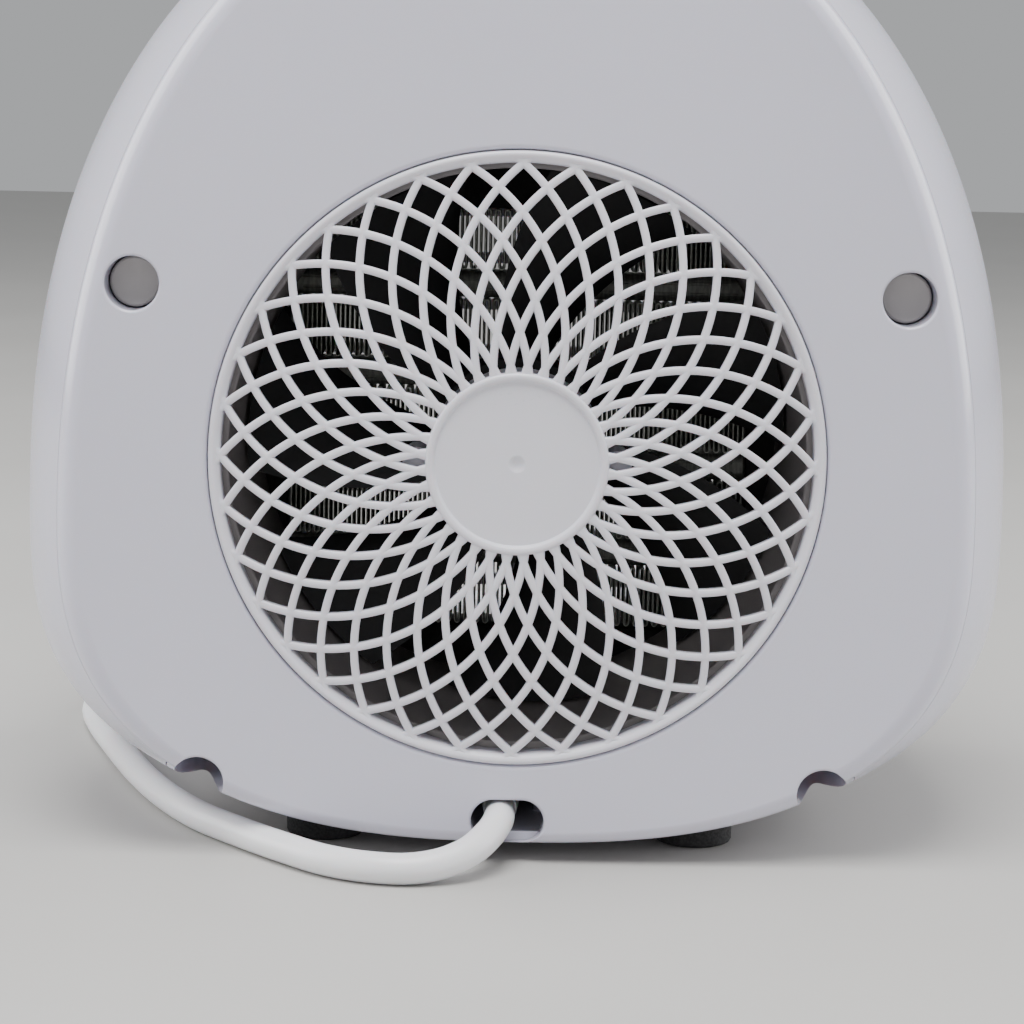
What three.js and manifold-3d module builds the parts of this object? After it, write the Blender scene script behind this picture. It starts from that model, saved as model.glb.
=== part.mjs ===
// Fan convector heater, millimetres, +Z up.
// The origin is on the table under the middle of the body. The warm air leaves at the front (-Y)
// and the fan draws through the round grille in the rear (+Y).
import * as THREE from 'three';
import { mergeVertices } from 'three/addons/utils/BufferGeometryUtils.js';
import Module from 'manifold-3d';

const wasm = await Module();
wasm.setup();

// ---- Driving dimensions -------------------------------------------------------------------

const GAP = 0.3; // clearance between touching pieces
const OVERRUN = 4; // how far a cutter passes a face

const BODY = {
  halfWidth: 115, bottom: 4.4, top: 228.5, widestHeight: 76, lowerPower: 3, upperPower: 2.2,
  depth: 145, widestY: 20, wall: 2.2, frontRadius: 9, rearRadius: 3,
};
// How far the outline draws in at each end of the body.
const REAR = { side: 14.7, top: 5.1, bottom: 0, lowerPower: 2.5, upperPower: 2.1 };
const FRONT = { side: 12, top: 9, bottom: 1.6, lowerPower: 2.7, upperPower: 2.2 };
const LIP = { length: 5, thickness: 1.6 };
const COVER_DEPTH = 4; // the rear cover's own depth at the parting line
const OUTLINE_POINTS = 36;

const FAN = { height: 91.4, sides: 36 };
const GRILLE = {
  openRadius: 65.8, ringRadius: 68.5, flangeRadius: 72, flangeThickness: 2, thickness: 2.6,
  dome: 5, ribs: 36, ribWidth: 1.8, sweepDiameter: 86.2, rows: 7,
  hubRadius: 18.5, hubRing: 20.3, hubRecess: 1, dimpleRadius: 1.6, dimpleDepth: 0.7,
  ringRise: 0.4, seam: 0.4,
};
const MOTOR = {
  radius: 17, length: 36, flangeRadius: 19, flangeThickness: 2, seatDepth: 9,
  endRadius: 7, endLength: 4, shaftRadius: 1.5, shaftBore: 1.8, shaftLength: 44,
};
const CUP = { earRadius: 3, earReach: 22.4, earSetback: 2 };
const RETAINER = { thickness: 2, innerRadius: 16.4 };
const IMPELLER = {
  blades: 7, tipGap: 1, hubRadius: 20, hubDepth: 16, wall: 1.8, thickness: 1.6,
  bladeTurn: 34, sweep: -20, pitch: 14, rearY: 30,
  collar: 5, shaftProud: 4, clipRadius: 4.6, clipThickness: 1.4,
};
const DUCT = { innerRadius: 64.5, wall: 2.2, frontY: -12, rearGap: 1.5, plateThickness: 2.5 };
const ELEMENT = {
  width: 115, height: 105, depth: 18, wall: 5, flange: 15.5, flangeThickness: 2.3,
  banks: 5, barHeight: 6.5, barInset: 2, folds: 10, finThickness: 2.6, corner: 3,
};
const POST = { radius: 4.5, screwInset: 7.5, tipRoom: 2, rib: 2.4 };
const PLATE_CORNER = 6; // corner radius of the duct's plate and of the element's flange
const OUTLET = {
  openRadius: 62, ringRadius: 66, slats: 10, slatWidth: 3.2, slatDepth: 4, rib: 3, recess: 0.6,
  flange: 3, flangeThickness: 3.3,
};

const WELL = {
  radius: 6, wall: 2, depth: 50, floor: 2.4,
  upperInset: 8.7, upperTurn: 21.4, lowerInset: -1, lowerTurn: -50.5,
};
const WELL_PLUG = { radius: 5.7, sink: 7, thickness: 2, skirt: 6, wall: 1.4, edge: 0.5 }; // upper two wells
const SCREW = { headRadius: 4, headHeight: 2.6, shankRadius: 1.75, length: 14 };
const SMALL_SCREW = { headRadius: 2.6, headHeight: 1.8, shankRadius: 1.3, length: 8 };

const FOOT = { x: 43, y: 44, radius: 9, stemRadius: 2.6, stemHeight: 5, rise: 9 };
const SLOT = { x: 0.5, height: 9.6, width: 16.4, tall: 10 };

const PANEL = { width: 86, depth: 46, y: -6, drop: 9.5, plate: 2.5, rim: 1.8 };
const KNOB = {
  radius: 14, skirtRadius: 15, skirt: 2, height: 12, crown: 2.5, edge: 1, spread: 23,
  shaftRadius: 3, pointer: 1.2, pointerRise: 0.6, pointerInset: 2.5,
};
const SWITCH = { width: 26, depth: 24, height: 16, shaftSink: 9, boss: 3, modeBoss: 6, thermostatBoss: 9 };
const LENS = { radius: 3, proud: 1.4, edge: 1, crown: 0.3, sink: 5 };

const TIP = {
  x: 26, y: -30, width: 24, depth: 13, height: 13, lift: 2.6, roof: 2,
  plungerRadius: 2.5, plungerEdge: 0.8, plungerTop: 9, hole: 3.1,
};
const TERMINAL = { x: -34, y: 22, width: 30, depth: 16, height: 12, lift: 3.2, ways: 3, bore: 2.4, base: 4 };
const CUTOUT = { x: 30, width: 20, depth: 12, height: 7, sensorShare: 0.45, sensorReach: 3, lift: 0.5 };

const CORD = { radius: 3.5, sides: 8, step: 12, exitX: 2.2, exitHeight: 10.6, startY: 60.3 };
const SLEEVE = { length: 24, straight: 8, bigRadius: 4.9, smallRadius: 3.9, channelRoom: 0.6 };
const CLAMP = { width: 30, depth: 8, height: 8, foot: 10, screwReach: 11, postRadius: 3.4, place: 0.35 };
const COIL = { x: 45, y: -130, radius: 37, turnsWide: 3, layers: 2, lift: 1.2 };
const TIE = { thickness: 1, width: 9, turn: 118, lift: 0.1, slack: 0.35 };
const PLUG = {
  x: 8, radius: 18, length: 42, noseRadius: 5.4, noseFlare: 1.6, noseLength: 16, lift: 0.2,
  // [share of the radius, distance past the nose] down the grip
  grip: [[0.62, 5], [0.72, 20], [1, 27]],
};
const PIN = { radius: 2.4, length: 19, spread: 9.5, sink: 5.5, tip: 2 };

// The cord's route from the sleeve to the coil, chosen by hand.
const ROUTE = [
  [2.2, 60.3, 10.6], [2.2, 66, 10.6], [2.6, 72, 10.3], [4.6, 78.5, 8.8], [8.6, 84.2, 6.4],
  [14.5, 88.3, 4.5], [22, 90.6, 3.6], [31, 89, 3.5], [40, 83.5, 3.5], [50, 73.5, 3.5],
  [61, 60.5, 3.5], [72, 46, 3.5], [81, 29.5, 3.5], [89, 10.5, 3.5], [96.3, -10.5, 3.5],
  [103.4, -33, 3.5], [109.6, -53, 3.5], [113.6, -71, 3.5], [113.6, -87, 3.5],
  [109, -101.5, 3.6], [102.6, -112, 4], [97.6, -120, 4.6],
];

// ---- Worked-out places --------------------------------------------------------------------

const REAR_Y = (BODY.depth - GRILLE.dome) / 2;
const FRONT_Y = -(BODY.depth + GRILLE.dome) / 2;
const PARTING_Y = REAR_Y - COVER_DEPTH;
const HUB_FACE = REAR_Y + GRILLE.dome;
const MOTOR_REAR = HUB_FACE - GRILLE.thickness - GAP;
const MOTOR_FRONT = MOTOR_REAR - MOTOR.length;
const SEAT_Y = MOTOR_REAR - MOTOR.seatDepth;
const RETAINER_REAR = SEAT_Y - GAP - MOTOR.flangeThickness - GAP;
const COVER_INNER = REAR_Y - BODY.wall;
const DUCT_REAR = COVER_INNER - GAP - GRILLE.flangeThickness - DUCT.rearGap;
const PLATE_FRONT = DUCT.frontY - DUCT.plateThickness;
const ELEMENT_REAR = PLATE_FRONT - GAP;
const FLANGE_FRONT = ELEMENT_REAR - ELEMENT.flangeThickness;
const SCREW_X = ELEMENT.width / 2 + ELEMENT.wall + ELEMENT.flange - POST.screwInset;
const SCREW_Z = ELEMENT.height / 2 + ELEMENT.wall + ELEMENT.flange - POST.screwInset;
const BANK_HEIGHT = (ELEMENT.height - (ELEMENT.banks - 1) * ELEMENT.barHeight
  - 2 * ELEMENT.banks * GAP) / ELEMENT.banks;
const PANEL_TOP = BODY.top - PANEL.drop;
const PANEL_BOTTOM = PANEL_TOP - PANEL.plate;
const SWITCH_TOP = PANEL_BOTTOM - GAP;
const FLOOR = BODY.bottom + BODY.wall;

// ---- Materials ----------------------------------------------------------------------------

function finish(color, roughness, metalness = 0) {
  return new THREE.MeshStandardMaterial({ color, roughness, metalness });
}

const whitePlastic = finish(0xe6e6ec, 0.25);
const darkPlastic = finish(0x202124, 0.5);
const ductPlastic = finish(0x6a6562, 0.55);
const greyPlastic = finish(0x9a9a9c, 0.5);
const rubber = finish(0x2a2a2a, 0.85);
const steel = finish(0xb8bac0, 0.35, 0.9);
const brass = finish(0xc8a860, 0.3, 0.9);
const aluminium = finish(0xb4b8b0, 0.4, 0.8);
const redLens = finish(0xc03020, 0.15);
const whiteCord = finish(0xf0f0f2, 0.4);

// ---- Solids -------------------------------------------------------------------------------

/** Any closed geometry as a manifold solid whose faces point out. */
function solid(geometry) {
  const bare = (geometry.index ? geometry : mergeVertices(geometry)).clone();
  for (const name of Object.keys(bare.attributes)) {
    if (name !== 'position') bare.deleteAttribute(name);
  }
  const merged = mergeVertices(bare, 1e-4);
  const at = merged.attributes.position;
  const corners = [];
  for (let i = 0; i < merged.index.count; i += 3) {
    const [a, b, c] = [0, 1, 2].map((k) => merged.index.getX(i + k));
    if (a !== b && b !== c && c !== a) corners.push(a, b, c);
  }
  let volume = 0;
  const [p, q, r] = [new THREE.Vector3(), new THREE.Vector3(), new THREE.Vector3()];
  for (let i = 0; i < corners.length; i += 3) {
    p.fromBufferAttribute(at, corners[i]);
    q.fromBufferAttribute(at, corners[i + 1]);
    r.fromBufferAttribute(at, corners[i + 2]);
    volume += p.dot(q.cross(r));
  }
  if (volume < 0) corners.reverse();
  return new wasm.Manifold(new wasm.Mesh({
    numProp: 3,
    vertProperties: new Float32Array(at.array),
    triVerts: new Uint32Array(corners),
  }));
}

/** A manifold solid back as a three.js geometry. */
function geometryOf(body) {
  const mesh = body.getMesh();
  const geometry = new THREE.BufferGeometry();
  geometry.setAttribute('position', new THREE.BufferAttribute(mesh.vertProperties, 3));
  geometry.setIndex(new THREE.BufferAttribute(mesh.triVerts, 1));
  geometry.computeVertexNormals();
  return geometry;
}

/** A box between two corners. */
function block(low, high) {
  const size = high.map((value, i) => value - low[i]);
  const box = new THREE.BoxGeometry(...size);
  box.translate(...low.map((value, i) => value + size[i] / 2));
  return solid(box);
}

/** A solid turned about local Z from [radius, z] points; it closes on the axis or on itself. */
function turned(points, sides = 24) {
  const lathe = new THREE.LatheGeometry(points.map(([x, y]) => new THREE.Vector2(x, y)), sides);
  lathe.rotateX(Math.PI / 2);
  return solid(lathe);
}

/** A plain round bar about local Z. */
function bar(radius, low, high, sides = 24) {
  return turned([[0, low], [radius, low], [radius, high], [0, high]], sides);
}

/** A washer-shaped solid about local Z. */
function washer(inner, outer, low, high, sides = 24) {
  return turned([[inner, low], [outer, low], [outer, high], [inner, high], [inner, low]], sides);
}

/** A flat outline given a thickness along local Z, from low to high. */
function slab(shape, low, high, curveSegments = 12) {
  const geometry = new THREE.ExtrudeGeometry(shape, {
    depth: high - low, bevelEnabled: false, curveSegments,
  });
  geometry.translate(0, 0, low);
  return solid(geometry);
}

/** A stadium or rounded rectangle about the origin. */
function roundedRectangle(width, height, radius) {
  const [x, y] = [width / 2 - radius, height / 2 - radius];
  const shape = new THREE.Shape();
  shape.absarc(x, y, radius, 0, Math.PI / 2);
  shape.absarc(-x, y, radius, Math.PI / 2, Math.PI);
  shape.absarc(-x, -y, radius, Math.PI, 1.5 * Math.PI);
  shape.absarc(x, -y, radius, 1.5 * Math.PI, 2 * Math.PI);
  return shape;
}

/** A bar along world Y at (x, z), used for cutters and posts of the housing. */
function rodAlongY(radius, x, z, lowY, highY, sides = 12) {
  return bar(radius, lowY, highY, sides).rotate([-90, 0, 0]).translate([x, 0, z]);
}

// ---- The body's outline -------------------------------------------------------------------

const mix = (from, to, share) => from + (to - from) * share;
const signedPower = (value, power) => Math.sign(value) * Math.abs(value) ** power;

/** The egg-shaped section of the body at one depth, drawn in everywhere by inset. */
function sectionAt(y, inset) {
  const end = y < BODY.widestY ? FRONT : REAR;
  const endY = y < BODY.widestY ? FRONT_Y : REAR_Y;
  const share = ((y - BODY.widestY) / (endY - BODY.widestY)) ** 2;
  return {
    halfWidth: BODY.halfWidth - end.side * share - inset,
    top: BODY.top - end.top * share - inset,
    bottom: BODY.bottom + end.bottom * share + inset,
    lowerPower: mix(BODY.lowerPower, end.lowerPower, share),
    upperPower: mix(BODY.upperPower, end.upperPower, share),
  };
}

/** The point of a section at a turn in radians, from the +X side through the top. */
function outlinePoint(section, turn) {
  const upper = Math.sin(turn) >= 0;
  const power = 2 / (upper ? section.upperPower : section.lowerPower);
  const reach = upper ? section.top - BODY.widestHeight : BODY.widestHeight - section.bottom;
  return [
    section.halfWidth * signedPower(Math.cos(turn), power),
    BODY.widestHeight + reach * signedPower(Math.sin(turn), power),
  ];
}

/** A closed skin through equal rings of points, with a flat fan over each end. */
function loft(rings) {
  const count = rings[0].length;
  const index = [];
  for (let i = 0; i + 1 < rings.length; i += 1) {
    for (let j = 0; j < count; j += 1) {
      const [a, b] = [i * count + j, i * count + ((j + 1) % count)];
      index.push(a, a + count, b, b, a + count, b + count);
    }
  }
  const last = (rings.length - 1) * count;
  for (let j = 1; j + 1 < count; j += 1) {
    index.push(0, j, j + 1);
    index.push(last, last + j + 1, last + j);
  }
  const geometry = new THREE.BufferGeometry();
  geometry.setAttribute('position', new THREE.Float32BufferAttribute(rings.flat(2), 3));
  geometry.setIndex(index);
  return solid(geometry);
}

/** One ring of the body at a depth and inset. */
function bodyRing(y, inset) {
  const section = sectionAt(y, inset);
  return Array.from({ length: OUTLINE_POINTS }, (_, i) => {
    const [x, z] = outlinePoint(section, (i / OUTLINE_POINTS) * 2 * Math.PI);
    return [x, y, z];
  });
}

/** The whole body drawn in by shrink, with its front and rear edges rounded. */
function envelope(shrink) {
  const [front, rear] = [FRONT_Y + shrink, REAR_Y - shrink];
  const frontRadius = Math.max(BODY.frontRadius - shrink, 1);
  const rearRadius = Math.max(BODY.rearRadius - shrink, 0.8);
  const rings = [];
  for (const angle of [0, 30, 60]) {
    const lean = THREE.MathUtils.degToRad(angle);
    rings.push(bodyRing(
      front + frontRadius * (1 - Math.sin(lean)),
      shrink + frontRadius * (1 - Math.cos(lean)),
    ));
  }
  rings.push(bodyRing(front, shrink + frontRadius));
  rings.reverse();
  const low = front + frontRadius;
  const high = rear - rearRadius;
  for (const share of [0.5, 1]) rings.push(bodyRing(mix(low, BODY.widestY, share), shrink));
  for (const share of [0.33, 0.67]) rings.push(bodyRing(mix(BODY.widestY, high, share), shrink));
  for (const angle of [0, 45]) {
    const lean = THREE.MathUtils.degToRad(angle);
    rings.push(bodyRing(
      rear - rearRadius * (1 - Math.sin(lean)),
      shrink + rearRadius * (1 - Math.cos(lean)),
    ));
  }
  rings.push(bodyRing(rear, shrink + rearRadius));
  return loft(rings);
}

const outer = envelope(0);
const hollow = outer.subtract(envelope(BODY.wall));
const FAR = 400;

/** The half of space behind (+1) or in front of (-1) a depth. */
function beyond(y, side) {
  return side > 0 ? block([-FAR, y, -FAR], [FAR, FAR, FAR]) : block([-FAR, -FAR, -FAR], [FAR, y, FAR]);
}

/** The four places of the screw wells on the rear face, as [x, z]. */
const wells = [WELL.upperTurn, WELL.lowerTurn].flatMap((turn) => {
  const inset = turn > 0 ? WELL.upperInset : WELL.lowerInset;
  const [x, z] = outlinePoint(sectionAt(REAR_Y, inset), THREE.MathUtils.degToRad(turn));
  return [[x, z], [-x, z]];
});

const WELL_FRONT = REAR_Y - WELL.depth;
const wellTube = (x, z, grow) => rodAlongY(WELL.radius + WELL.wall + grow, x, z,
  WELL_FRONT - grow, REAR_Y + OVERRUN);

/** The four places of the screws that hold the duct and the element, as [x, z]. */
const elementScrews = [[1, 1], [-1, 1], [1, -1], [-1, -1]].map(
  ([x, z]) => [x * SCREW_X, FAN.height + z * SCREW_Z],
);

// ---- Housing ------------------------------------------------------------------------------

function slotCutter() {
  const outline = roundedRectangle(SLOT.width, SLOT.tall, SLOT.tall / 2 - 0.01);
  return slab(outline, PARTING_Y - LIP.length - 1, REAR_Y + OVERRUN, 5)
    .rotate([-90, 0, 0]).translate([SLOT.x, 0, SLOT.height]);
}

function rearCover() {
  let cover = hollow.intersect(beyond(PARTING_Y + GAP / 2, 1));
  const lip = envelope(BODY.wall + GAP).subtract(envelope(BODY.wall + GAP + LIP.thickness));
  cover = cover.add(lip.intersect(beyond(PARTING_Y - LIP.length, 1))
    .intersect(beyond(REAR_Y - BODY.wall - 2, -1)));
  for (const [x, z] of wells) cover = cover.add(wellTube(x, z, 0).intersect(outer));
  cover = cover.subtract(
    rodAlongY(GRILLE.ringRadius + GAP, 0, FAN.height, WELL_FRONT, REAR_Y + OVERRUN, FAN.sides),
  );
  for (const [x, z] of wells) {
    cover = cover.subtract(rodAlongY(WELL.radius, x, z, WELL_FRONT + WELL.floor, REAR_Y + OVERRUN))
      .subtract(rodAlongY(SCREW.shankRadius + GAP, x, z, WELL_FRONT - 1, REAR_Y, 8));
  }
  return cover.subtract(slotCutter());
}

/** A post for a housing screw, with a rib that ties it to the side wall. */
function wellPost(x, z) {
  const [low, high] = [WELL_FRONT - GAP - SCREW.length - POST.tipRoom, WELL_FRONT - GAP];
  const side = Math.sign(x);
  const half = POST.rib / 2;
  const rib = block([Math.min(x, side * FAR), low, z - half], [Math.max(x, side * FAR), high, z + half]);
  return rodAlongY(POST.radius, x, z, low, high, 10).add(rib);
}

function housingShell() {
  let shell = hollow.intersect(beyond(PARTING_Y - GAP / 2, -1));
  let inside = elementScrews
    .map(([x, z]) => rodAlongY(POST.radius, x, z, FRONT_Y, FLANGE_FRONT - GAP, 10))
    .reduce((all, post) => all.add(post));
  for (const [x, z] of wells) inside = inside.add(wellPost(x, z));
  for (const reach of [-CLAMP.screwReach, CLAMP.screwReach]) {
    inside = inside.add(bar(CLAMP.postRadius, 0, CLAMP.foot - GAP, 8)
      .translate([CORD.exitX + reach, clampY(), 0]));
  }
  shell = shell.add(inside.intersect(envelope(BODY.wall / 2)));
  shell = shell.subtract(
    rodAlongY(OUTLET.ringRadius + GAP, 0, FAN.height, FRONT_Y - OVERRUN, FRONT_Y + OVERRUN, FAN.sides),
  );
  for (const [x, z] of elementScrews) {
    shell = shell.subtract(rodAlongY(SMALL_SCREW.shankRadius + GAP, x, z,
      FLANGE_FRONT - SMALL_SCREW.length - POST.tipRoom, 0, 8));
  }
  for (const [x, z] of wells) {
    shell = shell.subtract(wellTube(x, z, GAP));
    shell = shell.subtract(rodAlongY(SCREW.shankRadius + GAP, x, z,
      WELL_FRONT - SCREW.length - 0.5, WELL_FRONT + 1, 8));
  }
  for (const reach of [-CLAMP.screwReach, CLAMP.screwReach]) {
    shell = shell.subtract(bar(SMALL_SCREW.shankRadius + GAP, BODY.bottom + 1, CLAMP.foot + 1, 8)
      .translate([CORD.exitX + reach, clampY(), 0]));
  }
  const channel = SLEEVE.bigRadius + GAP + SLEEVE.channelRoom;
  shell = shell.subtract(block(
    [CORD.exitX - channel, sleeveFront() - 1, CORD.exitHeight - SLEEVE.bigRadius - GAP],
    [CORD.exitX + channel, PARTING_Y + 1, FLOOR + 1],
  ));
  for (const [x, y] of feet) {
    shell = shell.subtract(bar(FOOT.stemRadius + GAP, 0, FLOOR + FOOT.rise, 8).translate([x, y, 0]));
  }
  shell = shell.subtract(bar(TIP.hole, 0, FLOOR + OVERRUN, 10).translate([TIP.x, TIP.y, 0]));
  return shell.subtract(panelOutline(GAP, PANEL_BOTTOM - 2, BODY.top + OVERRUN));
}

const feet = [[1, 1], [-1, 1], [1, -1], [-1, -1]].map(([x, y]) => [x * FOOT.x, y * FOOT.y]);

/** A rubber foot shaped to the curved underside, with its stem pushed through the shell. */
function rubberFoot(x, y) {
  const pad = bar(FOOT.radius, 0, FOOT.rise, 16).translate([x, y, 0]).subtract(envelope(-GAP));
  const stem = bar(FOOT.stemRadius, FOOT.rise / 3, BODY.bottom + FOOT.rise / 2 + FOOT.stemHeight, 8);
  return pad.add(stem.translate([x, y, 0]));
}

/** A pan-headed screw about local Z: the head sits on z = 0 and the shank points to -Z. */
function screw(size) {
  return turned([
    [0, -size.length], [size.shankRadius, -size.length + size.shankRadius],
    [size.shankRadius, 0], [size.headRadius, 0], [size.headRadius, size.headHeight * 0.6],
    [size.headRadius * 0.6, size.headHeight], [0, size.headHeight],
  ], 8);
}

/** A cup-shaped plug about local Z that closes a screw well: its face sits on z = 0. */
function wellPlug() {
  const { radius, thickness, skirt, wall, edge } = WELL_PLUG;
  return turned([
    [0, -thickness], [radius - wall, -thickness], [radius - wall, -skirt], [radius, -skirt],
    [radius, -edge], [radius - edge, 0], [0, 0],
  ], 24);
}

// ---- Rear grille, in the fan's own frame: local Z is to the rear ---------------------------

/** How far a rib has turned, in radians, when it has come in from the rim to a radius. */
function ribTurn(radius) {
  return Math.acos(radius / GRILLE.sweepDiameter) - Math.acos(GRILLE.openRadius / GRILLE.sweepDiameter);
}

/** The radius at which a rib has turned by an angle, in radians. */
function ribRadius(turn) {
  return GRILLE.sweepDiameter
    * Math.cos(turn + Math.acos(GRILLE.openRadius / GRILLE.sweepDiameter));
}

/** A polygon with each edge moved in by its own distance. Points run anticlockwise. */
function drawnIn(points, distances) {
  const lines = points.map((from, i) => {
    const along = points[(i + 1) % points.length].clone().sub(from).normalize();
    const inward = new THREE.Vector2(-along.y, along.x).multiplyScalar(distances[i]);
    return { from: from.clone().add(inward), along };
  });
  return lines.map((line, i) => {
    const before = lines[(i + lines.length - 1) % lines.length];
    const gap = line.from.clone().sub(before.from);
    const share = gap.cross(line.along) / before.along.cross(line.along);
    return before.from.clone().addScaledVector(before.along, share);
  });
}

/** The openings between the crossing ribs, as polygons. */
function grilleOpenings() {
  const step = Math.PI / GRILLE.ribs;
  const half = GRILLE.ribWidth / 2;
  const at = (row, turn) => {
    const radius = row < 0 ? GRILLE.openRadius : ribRadius(row * step);
    return new THREE.Vector2(radius * Math.cos(turn), radius * Math.sin(turn));
  };
  const openings = [];
  for (let i = 0; i < GRILLE.ribs; i += 1) {
    const middle = (2 * i + 1) * step;
    openings.push(drawnIn([at(1, middle), at(0, middle - step), at(0, middle + step)],
      [half, 0, half]));
    for (let row = 1; row <= GRILLE.rows; row += 1) {
      const turn = middle + row * step;
      const outerCorner = at(row - 1, turn);
      const sides = [at(row, turn - step), at(row, turn + step)];
      const last = row === GRILLE.rows;
      const lean = (row + 1) * step - ribTurn(GRILLE.hubRing);
      const hub = [turn - lean, turn + lean].map((t) => new THREE.Vector2(
        GRILLE.hubRing * Math.cos(t), GRILLE.hubRing * Math.sin(t)));
      const inner = last ? hub : [at(row + 1, turn)];
      const ring = [inner[0], sides[0], outerCorner, sides[1], ...inner.slice(1)];
      openings.push(drawnIn(ring, last ? [half, half, half, half, 0] : [half, half, half, half]));
    }
  }
  return openings;
}

/** The domed rise of the ribs over the cover's face at a radius; the hub is flat. */
function domeAt(radius) {
  const share = (radius - GRILLE.hubRing) / (GRILLE.openRadius - GRILLE.hubRing);
  return (GRILLE.dome - GRILLE.ringRise) * (1 - THREE.MathUtils.clamp(share, 0, 1) ** 2);
}

/** The hub disc with its recess and dimple, and the cup behind it that seats the motor. */
function grilleHub() {
  const [back, recess] = [HUB_FACE - GRILLE.thickness, HUB_FACE - GRILLE.hubRecess];
  const dimple = recess - GRILLE.dimpleDepth;
  const rim = GRILLE.hubRing - GRILLE.seam;
  let hub = turned([
    [0, back], [MOTOR.radius + GAP, back], [MOTOR.radius + GAP, SEAT_Y], [rim, SEAT_Y],
    [rim, HUB_FACE], [GRILLE.hubRadius, HUB_FACE], [GRILLE.hubRadius, recess],
    [GRILLE.dimpleRadius, recess], [0, dimple],
  ], FAN.sides * 2 / 3);
  for (const side of [-1, 1]) {
    const ear = bar(CUP.earRadius, RETAINER_REAR + GAP, back - CUP.earSetback, 8)
      .translate([side * CUP.earReach, 0, 0]);
    hub = hub.add(ear.subtract(bar(MOTOR.flangeRadius + GAP, RETAINER_REAR, back, FAN.sides * 2 / 3)));
  }
  return hub;
}

/** The raised ring round the ribs, with the flange that sits behind the cover. */
function grilleRing() {
  const [inner, back] = [GRILLE.openRadius + GRILLE.seam, REAR_Y - GRILLE.thickness];
  return turned([
    [inner, back - GRILLE.flangeThickness], [GRILLE.flangeRadius, back - GRILLE.flangeThickness],
    [GRILLE.flangeRadius, back], [GRILLE.ringRadius, back],
    [GRILLE.ringRadius, REAR_Y + GRILLE.ringRise], [inner, REAR_Y + GRILLE.ringRise],
    [inner, back - GRILLE.flangeThickness],
  ], FAN.sides);
}

function rearGrille() {
  const disc = new THREE.Shape();
  disc.absarc(0, 0, GRILLE.openRadius + 3 * GRILLE.seam, 0, 2 * Math.PI);
  const centre = new THREE.Path();
  centre.absarc(0, 0, GRILLE.hubRing - 5 * GRILLE.seam, 0, 2 * Math.PI);
  disc.holes.push(centre, ...grilleOpenings().map((points) => new THREE.Path(points)));
  const lattice = new THREE.ExtrudeGeometry(disc, {
    depth: GRILLE.thickness, bevelEnabled: false, curveSegments: FAN.sides / 2,
  });
  const at = lattice.attributes.position;
  for (let i = 0; i < at.count; i += 1) {
    at.setZ(i, at.getZ(i) + REAR_Y - GRILLE.thickness + domeAt(Math.hypot(at.getX(i), at.getY(i))));
  }
  let grille = solid(lattice).add(grilleRing()).add(grilleHub());
  for (const side of [-1, 1]) {
    grille = grille.subtract(bar(SMALL_SCREW.shankRadius + GAP, RETAINER_REAR - 1,
      RETAINER_REAR + SMALL_SCREW.length, 8).translate([side * CUP.earReach, 0, 0]));
  }
  return grille;
}

// ---- Fan, in the fan's own frame ----------------------------------------------------------

function motorBody() {
  return turned([
    [0, MOTOR_REAR], [MOTOR.radius, MOTOR_REAR], [MOTOR.radius, SEAT_Y - GAP],
    [MOTOR.flangeRadius, SEAT_Y - GAP], [MOTOR.flangeRadius, SEAT_Y - GAP - MOTOR.flangeThickness],
    [RETAINER.innerRadius - GAP, SEAT_Y - GAP - MOTOR.flangeThickness],
    [RETAINER.innerRadius - GAP, MOTOR_FRONT], [MOTOR.endRadius, MOTOR_FRONT],
    [MOTOR.endRadius, MOTOR_FRONT - MOTOR.endLength], [MOTOR.shaftBore, MOTOR_FRONT - MOTOR.endLength],
    [MOTOR.shaftBore, shaftRear() + GAP], [0, shaftRear() + GAP],
  ], 20);
}

const shaftFront = () => impellerFront() - IMPELLER.shaftProud;
const shaftRear = () => shaftFront() + MOTOR.shaftLength;
const impellerFront = () => IMPELLER.rearY - IMPELLER.hubDepth;

function motorRetainer() {
  const [low, high] = [RETAINER_REAR - RETAINER.thickness, RETAINER_REAR];
  let ring = washer(RETAINER.innerRadius, MOTOR.flangeRadius + 1, low, high, 20);
  for (const side of [-1, 1]) {
    const hole = bar(SMALL_SCREW.shankRadius + GAP, low - 1, high + 1, 10);
    ring = ring.add(bar(CUP.earRadius, low, high, 14).translate([side * CUP.earReach, 0, 0]))
      .subtract(hole.translate([side * CUP.earReach, 0, 0]));
  }
  return ring;
}

/** One swept and pitched blade as a closed skin of two curved faces. */
function blade(middle) {
  const [across, along] = [4, 3];
  const tip = DUCT.innerRadius - IMPELLER.tipGap;
  const root = IMPELLER.hubRadius - IMPELLER.wall / 2;
  const point = (u, v, face) => {
    const radius = mix(root, tip, u);
    const turn = THREE.MathUtils.degToRad(
      middle + IMPELLER.sweep * (u - 0.5) + IMPELLER.bladeTurn * (v - 0.5));
    const depth = IMPELLER.rearY - IMPELLER.hubDepth / 2
      + IMPELLER.pitch * (v - 0.5) + face * IMPELLER.thickness / 2;
    return [radius * Math.cos(turn), radius * Math.sin(turn), depth];
  };
  const rings = Array.from({ length: across + 1 }, (_, i) => {
    const row = (face) => Array.from({ length: along + 1 }, (__, j) => point(i / across, j / along, face));
    return [...row(-1), ...row(1).reverse()];
  });
  return loft(rings);
}

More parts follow.
